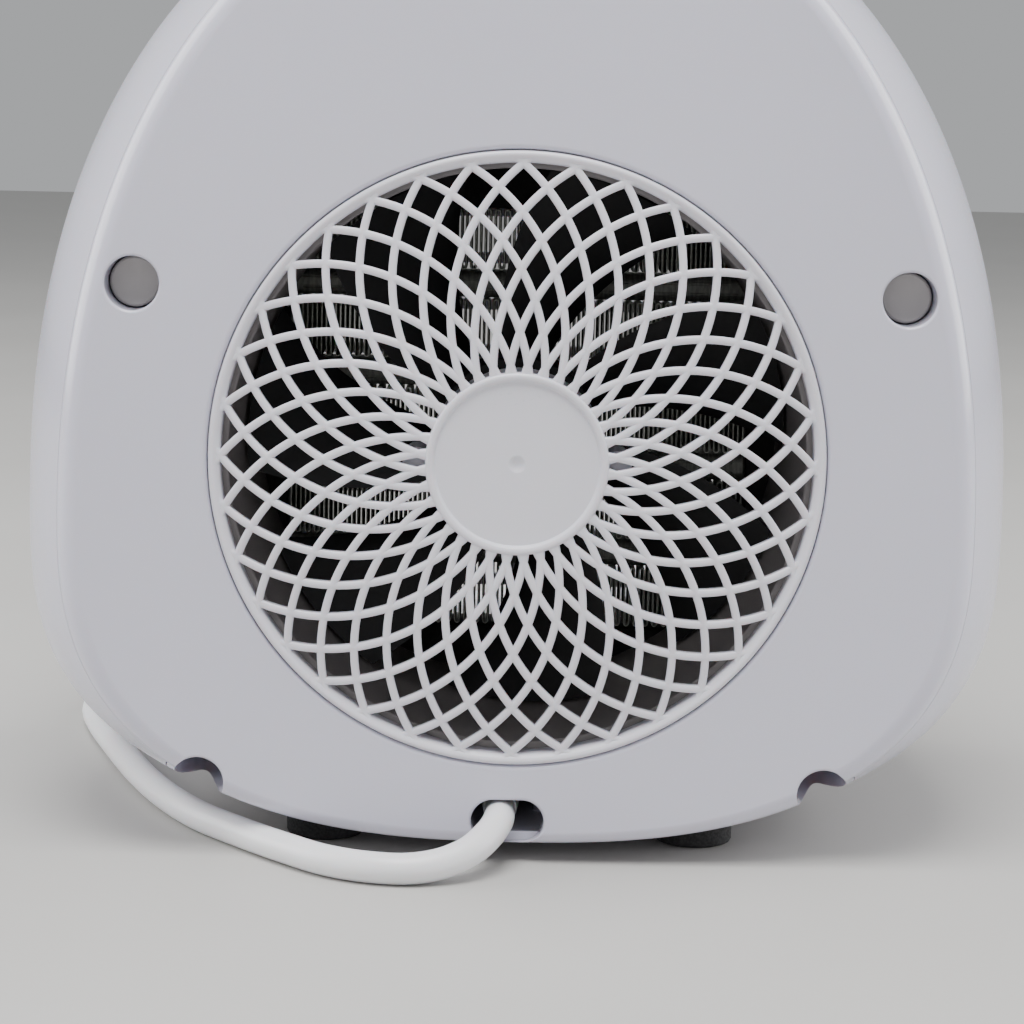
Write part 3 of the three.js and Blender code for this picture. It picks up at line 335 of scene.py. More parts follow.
def mesh_object(name: str, points: Sequence[Point], faces: Sequence[Sequence[int]]) -> bpy.types.Object:
    """A new mesh object whose faces all point out.

    Args:
        name: the piece's name.
        points: the corners, in the row frame.
        faces: the corners of each face.

    Returns:
        The object, linked to the scene.
    """
    mesh = bpy.data.meshes.new(name)
    mesh.from_pydata([tuple(p) for p in points], [], [tuple(f) for f in faces])
    work = bmesh.new()
    work.from_mesh(mesh)
    bmesh.ops.remove_doubles(work, verts=work.verts, dist=1e-7)
    bmesh.ops.recalc_face_normals(work, faces=work.faces)
    work.to_mesh(mesh)
    work.free()
    made = bpy.data.objects.new(name, mesh)
    bpy.context.scene.collection.objects.link(made)
    return made


def loft(name: str, rings: Sequence[Sequence[Point]]) -> bpy.types.Object:
    """A closed skin through equal rings of points, with a flat face over each end.

    Args:
        name: the piece's name.
        rings: closed loops of points, all with the same count.

    Returns:
        The solid, linked to the scene.
    """
    count = len(rings[0])
    points = [p for ring in rings for p in ring]
    faces = [
        (i * count + j, i * count + (j + 1) % count, (i + 1) * count + (j + 1) % count, (i + 1) * count + j)
        for i in range(len(rings) - 1)
        for j in range(count)
    ]
    faces.append(tuple(range(count)))
    faces.append(tuple(range(len(points) - count, len(points))))
    return mesh_object(name, points, faces)


def turned(name: str, profile: Sequence[Flat], place: Matrix, sides: int = 96) -> bpy.types.Object:
    """A solid turned about local Z from (radius, z) points.

    Args:
        name: the piece's name.
        profile: the section, which starts and ends on the axis or closes on itself.
        place: where local Z and the origin lie in the row frame.
        sides: facets round the axis.

    Returns:
        The turned object.
    """
    closes = profile[0] == profile[-1] and profile[0][0] > 0
    section = list(profile[:-1] if closes else profile)
    points, rows = [], []
    for radius, z in section:
        if radius < 1e-9:
            rows.append([len(points)] * sides)
            points.append(place @ Vector((0.0, 0.0, z)))
            continue
        rows.append([len(points) + k for k in range(sides)])
        for k in range(sides):
            turn = 2 * math.pi * k / sides
            points.append(place @ Vector((radius * math.cos(turn), radius * math.sin(turn), z)))
    faces = []
    pairs = list(zip(rows, rows[1:] + rows[:1])) if closes else list(zip(rows, rows[1:]))
    for low, high in pairs:
        for k in range(sides):
            j = (k + 1) % sides
            face = list(dict.fromkeys((low[k], low[j], high[j], high[k])))
            if len(face) > 2:
                faces.append(face)
    return mesh_object(name, points, faces)


def slab(name: str, outlines: Sequence[tuple[Sequence[Flat], float]], place: Matrix) -> bpy.types.Object:
    """A loft through flat outlines at heights along local Z, such as a plate with eased edges."""
    rings = [[place @ Vector((x, y, z)) for x, y in outline] for outline, z in outlines]
    return loft(name, rings)


def rounded_rectangle(width: float, height: float, radius: float, steps: int = 12) -> list[Flat]:
    """The outline of a rounded rectangle or stadium about the origin.

    Args:
        width: its size along X.
        height: its size along Y.
        radius: of its corners.
        steps: chords in each corner.

    Returns:
        Its points, anticlockwise.
    """
    x, y = width / 2 - radius, height / 2 - radius
    outline = []
    for k, (cx, cy) in enumerate([(x, y), (-x, y), (-x, -y), (x, -y)]):
        for i in range(steps + 1):
            turn = (k + i / steps) * math.pi / 2
            outline.append((cx + radius * math.cos(turn), cy + radius * math.sin(turn)))
    return outline


def eased_box(
    name: str, size: Point, place: Matrix, corner: float, edge: float, steps: int = 5
) -> bpy.types.Object:
    """A block about its own middle with round upright corners and eased top and bottom edges.

    Args:
        name: the piece's name.
        size: its sizes along X, Y and Z.
        place: where its middle and axes lie.
        corner: radius of the upright corners.
        edge: radius of the top and bottom edges.
        steps: chords in each eased edge.

    Returns:
        The block.
    """
    outlines = []
    for i in range(steps + 1):
        lean = i / steps * math.pi / 2
        inset, rise = edge * (1 - math.sin(lean)), edge * (1 - math.cos(lean))
        shape = rounded_rectangle(size[0] - 2 * inset, size[1] - 2 * inset, max(corner - inset, 1e-4))
        outlines.append((shape, -size[2] / 2 + rise))
    outlines += [(shape, -z) for shape, z in reversed(outlines)]
    return slab(name, outlines, place)


def fillet(inner: float, outer: float, height: float, steps: int = 6) -> list[Flat]:
    """Points of a quarter round that flares from (inner, height - size) out to (outer, height).

    Args:
        inner: the radius where the round starts.
        outer: the radius where it ends.
        height: the height where it ends.
        steps: straight steps in the quarter.

    Returns:
        The points, as (radius, height).
    """
    size = outer - inner
    return [
        (
            outer - size * math.cos(i / steps * math.pi / 2),
            height - size + size * math.sin(i / steps * math.pi / 2),
        )
        for i in range(steps + 1)
    ]


def boolean(body: bpy.types.Object, other: bpy.types.Object, operation: str) -> bpy.types.Object:
    """Joins, cuts or crosses a body with another, which is used up.

    Args:
        body: the piece to change.
        other: the tool.
        operation: UNION, DIFFERENCE or INTERSECT.

    Returns:
        The changed body.
    """
    modifier = body.modifiers.new("boolean", "BOOLEAN")
    modifier.operation = operation
    modifier.solver = "MANIFOLD"
    modifier.object = other
    graph = bpy.context.evaluated_depsgraph_get()
    result = bpy.data.meshes.new_from_object(body.evaluated_get(graph))
    if not result.polygons:
        raise RuntimeError(f"{operation} of {body.name} and {other.name} left nothing")
    body.modifiers.clear()
    body.data = result
    bpy.data.objects.remove(other)
    return body


def joined(name: str, parts: Iterable[bpy.types.Object]) -> bpy.types.Object:
    """Several objects as one mesh object, without any boolean.

    Args:
        name: the name of the new object.
        parts: the objects to join, which are removed.

    Returns:
        The new object.
    """
    work = bmesh.new()
    for part in parts:
        work.from_mesh(part.data)
        bpy.data.objects.remove(part)
    mesh = bpy.data.meshes.new(name)
    work.to_mesh(mesh)
    work.free()
    made = bpy.data.objects.new(name, mesh)
    bpy.context.scene.collection.objects.link(made)
    return made


def smooth_by_angle(piece: bpy.types.Object, degrees: float = 35.0) -> None:
    """Shades a mesh smooth, except at edges sharper than an angle, and keeps flat faces flat.

    Args:
        piece: the mesh object.
        degrees: edges sharper than this stay crisp.
    """
    mesh = piece.data
    work = bmesh.new()
    work.from_mesh(mesh)
    for face in work.faces:
        face.smooth = True
    limit = math.radians(degrees)
    for edge in work.edges:
        edge.smooth = len(edge.link_faces) == 2 and edge.calc_face_angle(0.0) < limit
    work.to_mesh(mesh)
    work.free()
    weighted = piece.modifiers.new("weighted_normals", "WEIGHTED_NORMAL")
    weighted.keep_sharp = True


def dress(
    piece: bpy.types.Object, finish: Finish, body: str, *nodes: str, degrees: float = 35.0
) -> bpy.types.Object:
    """Shades and paints a new piece, and puts it on its body in place of its CAD nodes.

    Args:
        piece: the piece.
        finish: its finish.
        body: the body it moves with.
        nodes: the CAD nodes that it stands for.
        degrees: edges sharper than this stay crisp.

    Returns:
        The piece.
    """
    piece.data.materials.clear()
    piece.data.materials.append(PAINTS.material(finish))
    if piece.type == "MESH":
        smooth_by_angle(piece, degrees)
    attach(piece, body)
    if nodes:
        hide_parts(*nodes)
    log.info("%s: %s on %s", piece.name, finish.name, body)
    return piece


def dress_node(node: str, finish: Finish, edge: float = 0.0003) -> None:
    """Keeps a CAD node, eases its edges with modifiers and gives it a finish.

    Args:
        node: the CAD node.
        finish: its finish.
        edge: how wide its eased edges are.
    """
    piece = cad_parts[node]
    piece.data.materials.clear()
    piece.data.materials.append(PAINTS.material(finish))
    for polygon in piece.data.polygons:
        polygon.use_smooth = True
        polygon.material_index = 0
    weld = piece.modifiers.new("weld", "WELD")
    weld.merge_threshold = 1e-6
    bevel = piece.modifiers.new("eased_edges", "BEVEL")
    bevel.width, bevel.segments, bevel.limit_method = edge, 3, "ANGLE"
    bevel.angle_limit = math.radians(40)
    bevel.use_clamp_overlap = True
    bevel.harden_normals = True
    log.info("%s: CAD node kept, %s", node, finish.name)


def middle_of(node: str) -> Vector:
    """The middle of a CAD node's box at rest."""
    low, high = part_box(node)
    return (low + high) / 2


# ---- Where things are -----------------------------------------------------------------------


@dataclass
class Layout:
    """Places read from the fixed frame."""

    fan_height: float = middle_of("motor_shaft").z
    cover_face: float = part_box("rear_cover")[1].y
    hub_face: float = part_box("rear_grille")[1].y
    front_face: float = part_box("housing_shell")[0].y
    parting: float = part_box("housing_shell")[1].y

    def fan_axis(self, y: float = 0.0) -> Matrix:
        """A frame whose local Z points to the rear along the fan's axis, with its origin at depth y."""
        return Matrix.Translation((0.0, y, self.fan_height)) @ Matrix.Rotation(-math.pi / 2, 4, "X")

    def along_y(self, x: float, z: float) -> Matrix:
        """A frame whose local Z points to the rear, at (x, z), with its origin at depth 0."""
        return Matrix.Translation((x, 0.0, z)) @ Matrix.Rotation(-math.pi / 2, 4, "X")


LAYOUT = Layout()


# ---- Camera and studio ----------------------------------------------------------------------


@dataclass
class Studio:
    """The camera, soft lights and a plain pale floor."""

    camera_place: Point = (0.0009, 0.72, 0.1725)
    pitch: float = -8.08
    roll: float = 1.25
    lens: float = 104.05
    sensor: float = 36.0
    floor_half: float = 4.0

    def build(self) -> None:
        """Makes the camera, the lights, the surroundings and the floor."""
        self._camera()
        self._soft_light("ceiling_light", (0.05, 0.5, 1.35), (0.0, 0.0, 0.1), 0.8, 25.0)
        self._soft_light("left_window", (1.5, -0.25, 0.7), (0.0, 0.0, 0.12), 1.3, 26.0)
        self._soft_light("right_window", (-1.5, -0.25, 0.7), (0.0, 0.0, 0.12), 1.3, 26.0)
        self._soft_light("rear_fill", (0.3, 2.0, 0.6), (0.0, 0.0, 0.1), 1.2, 5.0)
        self._surroundings()
        self._floor()

    def _camera(self) -> None:
        """A camera behind the heater, a little above its grille, looking slightly down."""
        data = bpy.data.cameras.new("camera")
        data.lens, data.sensor_width = self.lens, self.sensor
        data.clip_start, data.clip_end = 0.01, 50.0
        camera = bpy.data.objects.new("camera", data)
        bpy.context.scene.collection.objects.link(camera)
        aim = Matrix.Rotation(math.pi, 4, "Z") @ Matrix.Rotation(math.radians(90 + self.pitch), 4, "X")
        camera.matrix_world = (
            Matrix.Translation(self.camera_place) @ aim @ Matrix.Rotation(math.radians(self.roll), 4, "Z")
        )
        bpy.context.scene.camera = camera

    def _soft_light(self, name: str, place: Point, target: Point, size: float, watts: float) -> None:
        """A square area light at a place, aimed at a target.

        Args:
            name: the light's name.
            place: where it stands.
            target: what it points at.
            size: the side of its square.
            watts: its power.
        """
        data = bpy.data.lights.new(name, "AREA")
        data.size, data.energy = size, watts
        light = bpy.data.objects.new(name, data)
        light.location = place
        light.rotation_mode = "QUATERNION"
        light.rotation_quaternion = (Vector(target) - Vector(place)).to_track_quat("-Z", "Y")
        bpy.context.scene.collection.objects.link(light)

    def _surroundings(self) -> None:
        """An even pale light from all round."""
        world = bpy.data.worlds.new("surroundings")
        world.use_nodes = True
        background = world.node_tree.nodes["Background"]
        background.inputs["Color"].default_value = (0.86, 0.88, 0.9, 1.0)
        background.inputs["Strength"].default_value = 0.5
        bpy.context.scene.world = world

    def _floor(self) -> None:
        """A wide pale table top at z = 0."""
        r = self.floor_half
        floor = mesh_object("floor", [(-r, -r, 0), (r, -r, 0), (r, r, 0), (-r, r, 0)], [(0, 1, 2, 3)])
        pale = Finish("pale_floor", (0.5, 0.49, 0.47), (0.47, 0.46, 0.44), (0.5, 0.6), "", scale=6.0)
        floor.data.materials.append(pale.build())


# ---- Cord -----------------------------------------------------------------------------------


# The cord's route from the sleeve to the coil, as listed points.
ROUTE: list[Point] = [
    (0.0022, 0.0603, 0.0106), (0.0022, 0.066, 0.0106), (0.0026, 0.072, 0.0103),
    (0.0046, 0.0785, 0.0088), (0.0086, 0.0838, 0.0064), (0.0145, 0.0875, 0.0045),
    (0.022, 0.0895, 0.0036), (0.031, 0.0882, 0.0035), (0.04, 0.0835, 0.0035),
    (0.05, 0.0735, 0.0035), (0.061, 0.0605, 0.0035), (0.072, 0.046, 0.0035),
    (0.081, 0.0295, 0.0035), (0.089, 0.0105, 0.0035), (0.0963, -0.0105, 0.0035),
    (0.1034, -0.033, 0.0035), (0.1094, -0.053, 0.0035), (0.1133, -0.071, 0.0035),
    (0.1133, -0.087, 0.0035), (0.109, -0.1015, 0.0036), (0.1026, -0.112, 0.004),
    (0.0976, -0.12, 0.0046),
]


def ease(share: float) -> float:
    """A smooth step from 0 to 1."""
    share = min(max(share, 0.0), 1.0)
    return share * share * (3 - 2 * share)


@dataclass
class MainsLead:
    """The round mains cord, its coil, tie, plug and pins."""

    radius: float = 0.0035
    length: float = 1.4
    spacing: float = 0.0016
    coil_middle: Flat = (0.045, -0.13)
    outer_turn: float = 0.044
    track: float = 0.00715
    first_angle: float = -30.0
    climb_angle: float = 120.0
    low_height: float = 0.0047
    upper_pitch: float = 0.0073
    last_angle: float = -1530.0
    turn_step: float = 12.0
    tie_angle: float = 118.0

    def coil_points(self) -> list[Point]:
        """The coil, wound clockwise: in over the lower layer, then up and out over the upper.

        Returns:
            Points along the coil, from the floor to the plug end.
        """
        points = []
        start = self.first_angle
        inner_end = start - 720.0
        climb_end = inner_end - self.climb_angle
        high = self.low_height + 2 * self.radius + 0.00005
        angle = start
        while angle >= self.last_angle:
            gone = start - angle
            shifts = [ease((gone - 180.0) / 180.0), ease((gone - 540.0) / 180.0)]
            reach = self.outer_turn - self.track * sum(shifts)
            height = self.low_height + (high - self.low_height) * ease((inner_end - angle) / self.climb_angle)
            if angle < climb_end:
                reach += self.upper_pitch * (climb_end - angle) / 360.0
            turn = math.radians(angle)
            points.append((
                self.coil_middle[0] + reach * math.cos(turn),
                self.coil_middle[1] + reach * math.sin(turn),
                height,
            ))
            angle -= self.turn_step
        return points

    def tail_points(self) -> list[Point]:
        """The short end from the top of the coil to the plug's nose.

        Returns:
            Points from the coil's end to the plug.
        """
        nose = self.nose()
        last = self.coil_points()[-1]
        return [
            (last[0] + (nose.x - last[0]) * share, last[1] + (nose.y - last[1]) * ease(share),
             last[2] + (nose.z - last[2]) * ease(share))
            for share in (0.3, 0.5, 0.7, 0.88, 1.0)
        ]

    def nose(self) -> Vector:
        """Where the cord enters the plug."""
        low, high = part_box("plug_body")
        return Vector((high.x + 0.0004, (low.y + high.y) / 2, (low.z + high.z) / 2))

    def centreline(self) -> list[Vector]:
        """The whole cord as close points on one smooth centripetal curve.

        Returns:
            The points, from the sleeve to the plug.
        """
        knots = [Vector(p) for p in ROUTE + self.coil_points() + self.tail_points()]
        knots = [2 * knots[0] - knots[1], *knots, 2 * knots[-1] - knots[-2]]
        line = []
        for a, b, c, d in zip(knots, knots[1:], knots[2:], knots[3:]):
            times = [0.0]
            for p, q in ((a, b), (b, c), (c, d)):
                times.append(times[-1] + math.sqrt((q - p).length))
            steps = max(1, round((c - b).length / self.spacing))
            for i in range(steps):
                line.append(self._between((a, b, c, d), times, i / steps))
        return [*line, knots[-2]]

    @staticmethod
    def _between(knots: Sequence[Vector], times: Sequence[float], share: float) -> Vector:
        """The curve's point a share of the way between its second and third knots.

        Args:
            knots: four knots in a row.
            times: the time of each knot.
            share: from 0 at the second knot to 1 at the third.

        Returns:
            The point.
        """
        at = times[1] + (times[2] - times[1]) * share

        def part(low: int, high: int) -> float:
            """How far the time lies between two knots' times."""
            return (at - times[low]) / (times[high] - times[low])

        near = [knots[i].lerp(knots[i + 1], part(i, i + 1)) for i in range(3)]
        pair = [near[i].lerp(near[i + 1], part(i, i + 2)) for i in range(2)]
        return pair[0].lerp(pair[1], share)

    def build(self) -> None:
        """Makes the cord and what is on it."""
        line = self.centreline()
        data = bpy.data.curves.new("mains_lead", "CURVE")
        data.dimensions = "3D"
        data.bevel_depth, data.bevel_resolution = self.radius, 7
        data.use_fill_caps = True
        spline = data.splines.new("POLY")
        spline.points.add(len(line) - 1)
        for point, place in zip(spline.points, line):
            point.co = (*place, 1.0)
        spline.use_smooth = True
        lead = bpy.data.objects.new("mains_lead", data)
        bpy.context.scene.collection.objects.link(lead)
        dress(lead, CORD_WHITE, HOUSING, "mains_cord", "cord_coil")
        measured = sum((b - a).length for a, b in zip(line, line[1:]))
        log.info("mains lead measures %.3f m", measured)
        plug = self._plug()
        pins = self._pins()
        tie = self._tie()
        sleeve = self._sleeve()

    def _plug(self) -> bpy.types.Object:
        """The moulded plug with a ribbed nose and a waisted grip.

        Returns:
            The plug.
        """
        low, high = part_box("plug_body")
        place = Matrix.Translation((high.x, (low.y + high.y) / 2, (low.z + high.z) / 2)) @ Matrix.Rotation(
            -math.pi / 2, 4, "Y"
        )
        radius, length = (high.z - low.z) / 2, high.x - low.x
        profile: list[Flat] = [(0.0, 0.0), (0.0046, 0.0), (0.0052, 0.0006)]
        for k in range(5):
            rib = 0.0014 + k * 0.0029
            girth = 0.0053 + 0.0014 * k / 5
            groove = girth - 0.0008
            profile += [(girth, rib), (girth, rib + 0.0015), (groove, rib + 0.0018), (groove, rib + 0.0026)]
        shoulder = 0.0166
        grip = [(0.0072, 0.0), (0.0092, 0.0012), (0.0107, 0.0035), (0.0114, 0.0065), (0.0116, 0.0105),
                (0.0118, 0.0145), (0.0126, 0.0185), (0.0143, 0.0222), (0.0165, 0.0246),
                (radius - 0.0003, 0.0262), (radius, 0.0275)]
        profile += [(r, shoulder + z) for r, z in grip]
        profile += [(radius, length - 0.0012), (radius - 0.0004, length - 0.0004),
                    (radius - 0.0012, length), (0.0, length)]
        plug = turned("plug_moulding", profile, place, 96)
        for number in (1, 2):
            pin = middle_of(f"plug_pin_{number}")
            bore = Matrix.Translation((low.x + 0.002, pin.y, pin.z)) @ Matrix.Rotation(-math.pi / 2, 4, "Y")
            section = [(0.0, -0.0035), (0.0027, -0.0035), (0.0027, 0.004), (0.0, 0.004)]
            boolean(plug, turned("bore", section, bore, 32), "DIFFERENCE")
        for k in range(7):
            for side in (-1, 1):
                across = place @ Matrix.Translation((0.0, side * 0.0135, shoulder + 0.005 + k * 0.0021))
                groove = eased_box("groove", (0.014, 0.005, 0.0009), across, 0.002, 0.0002, 2)
                boolean(plug, groove, "DIFFERENCE")
        return dress(plug, CORD_WHITE, HOUSING, "plug_body", degrees=30)

    def _pins(self) -> list[bpy.types.Object]:
        """Two round pins with domed ends and insulated roots.

        Returns:
            Both pins.
        """
        pins = []
        for number in (1, 2):
            node = f"plug_pin_{number}"
            low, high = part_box(node)
            centre = middle_of(node)
            place = Matrix.Translation((high.x, centre.y, centre.z)) @ Matrix.Rotation(-math.pi / 2, 4, "Y")
            radius, length = (high.z - low.z) / 2, high.x - low.x
            dome = [(radius * math.cos(a), length - radius * (1 - math.sin(a)))
                    for a in (i / 8 * math.pi / 2 for i in range(9))]
            dome[-1] = (0.0, length)
            pin = turned(f"contact_pin_{number}", [(0, 0), (radius, 0), *dome], place, 40)
            pins.append(dress(pin, BRASS, HOUSING, node))
        return pins

    def _tie(self) -> bpy.types.Object:
        """A flat strap closed round the bundle of turns.

        Returns:
            The strap.
        """
        turn = math.radians(self.tie_angle)
        strap_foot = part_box("cord_tie")[0].z
        middle = self.outer_turn - self.track
        place = (
            Matrix.Translation((
                self.coil_middle[0] + middle * math.cos(turn),
                self.coil_middle[1] + middle * math.sin(turn), 0.0))
            @ Matrix.Rotation(turn, 4, "Z") @ Matrix.Rotation(math.pi / 2, 4, "X")
        )
        thick, width, half = 0.001, 0.009, 0.0114
        bottom, top = strap_foot + 0.0002, 3 * self.radius + self.low_height + 0.0004

        def strap_outline(grow: float) -> list[Flat]:
            """The strap's run round the bundle, grown outwards.

            Args:
                grow: how far outside the bundle the run lies.

            Returns:
                The outline.
            """
            tall = top - bottom + 2 * grow - 2 * thick
            shape = rounded_rectangle(2 * (half + grow), tall, 0.0035 + grow, 10)
            return [(x, y + (top + bottom) / 2) for x, y in shape]

        outline_out, outline_in = strap_outline(thick), strap_outline(0.0)
        band = slab("cord_strap", [(outline_out, -width / 2), (outline_out, width / 2)], place)
        boolean(band, slab("inside", [(outline_in, -width), (outline_in, width)], place), "DIFFERENCE")
        return dress(band, KNOB_GREY, HOUSING, "cord_tie")

    def _sleeve(self) -> bpy.types.Object:
        """The tapered strain relief, slit into rings so that it can bend.

        Returns:
            The sleeve.
        """
        low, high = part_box("strain_relief")
        middle = middle_of("strain_relief")
        place = Matrix.Translation((middle.x, low.y, middle.z)) @ Matrix.Rotation(-math.pi / 2, 4, "X")
        big, length = (high.x - low.x) / 2, high.y - low.y
        small = self.radius + 0.0004
        profile: list[Flat] = [(0.0, 0.0), (big - 0.0003, 0.0), (big, 0.0003), (big, length / 3)]
        rings = 6
        for k in range(rings):
            share = k / rings
            start = length / 3 + share * length * 2 / 3
            girth = big + (small - big) * share
            profile += [(girth - 0.0006, start + 0.0003), (girth - 0.0006, start + 0.0009),
                        (girth - 0.0001, start + 0.0012)]
        profile += [(small, length - 0.0003), (small - 0.0002, length), (0.0, length)]
        sleeve = turned("cord_sleeve", profile, place, 64)
        return dress(sleeve, CORD_WHITE, HOUSING, "strain_relief")


# ---- Housing --------------------------------------------------------------------------------


@dataclass
class EndShape:
    """How the body's outline draws in at one end."""

    side: float
    top: float
    bottom: float
    lower_power: float
    upper_power: float


@dataclass
class BodyForm:
    """The egg-shaped form shared by the shell and the cover."""

    half_width: float = 0.115
    bottom: float = 0.0044
    top: float = 0.2285
    widest_height: float = 0.076
    lower_power: float = 3.0
    upper_power: float = 2.2
    widest_y: float = 0.02
    wall: float = 0.0022
    front_radius: float = 0.009
    rear_radius: float = 0.003
    front_y: float = LAYOUT.front_face
    rear_y: float = LAYOUT.cover_face
    rear: EndShape = field(default_factory=lambda: EndShape(0.0147, 0.0051, 0.0, 2.5, 2.1))
    front: EndShape = field(default_factory=lambda: EndShape(0.012, 0.009, 0.0016, 2.7, 2.2))
    points: int = 220

    def ring(self, y: float, inset: float) -> list[Point]:
        """The outline at a depth, drawn in everywhere by inset, as evenly spaced points.

        Args:
            y: the depth.
            inset: how far the outline draws in.

        Returns:
            The ring's points, from the +X side through the top.
        """
        end, end_y = (self.front, self.front_y) if y < self.widest_y else (self.rear, self.rear_y)
        share = ((y - self.widest_y) / (end_y - self.widest_y)) ** 2
        half = self.half_width - end.side * share - inset
        top = self.top - end.top * share - inset
        bottom = self.bottom + end.bottom * share + inset
        lower = self.lower_power + (end.lower_power - self.lower_power) * share
        upper = self.upper_power + (end.upper_power - self.upper_power) * share
        turn = np.linspace(0.0, 2 * math.pi, 4001)
        high = np.sin(turn) >= 0
        power = np.where(high, 2 / upper, 2 / lower)
        reach = np.where(high, top - self.widest_height, self.widest_height - bottom)
        x = half * np.sign(np.cos(turn)) * np.abs(np.cos(turn)) ** power
        z = self.widest_height + reach * np.sign(np.sin(turn)) * np.abs(np.sin(turn)) ** power
        along = np.concatenate([[0.0], np.cumsum(np.hypot(np.diff(x), np.diff(z)))])
        wanted = np.linspace(0.0, along[-1], self.points, endpoint=False)
        return [(float(a), y, float(b)) for a, b in
                zip(np.interp(wanted, along, x), np.interp(wanted, along, z))]

    def solid(self, name: str, shrink: float) -> bpy.types.Object:
        """The whole body drawn in by shrink, with its front and rear edges rounded.

        Args:
            name: the solid's name.
            shrink: how far it is drawn in on every side.

        Returns:
            The closed solid.
        """
        front, rear = self.front_y + shrink, self.rear_y - shrink
        big, small = max(self.front_radius - shrink, 0.001), max(self.rear_radius - shrink, 0.0008)
        rings = []
        for i in range(9):
            lean = i / 8 * math.pi / 2
            rings.append(self.ring(front + big * (1 - math.cos(lean)), shrink + big * (1 - math.sin(lean))))
        low, high = front + big, rear - small
        rings += [self.ring(low + (high - low) * i / 22, shrink) for i in range(1, 22)]
        for i in range(7):
            lean = i / 6 * math.pi / 2
            inset = shrink + small * (1 - math.cos(lean))
            rings.append(self.ring(rear - small * (1 - math.sin(lean)), inset))
        return loft(name, rings)


def half_space(y: float, side: int) -> bpy.types.Object:
    """A huge block behind (+1) or in front of (-1) a depth."""
    middle = Vector((0.0, y + side * 0.4, 0.1))
    return eased_box("half_space", (0.8, 0.8, 0.8), Matrix.Translation(middle), 0.0002, 0.0002, 1)


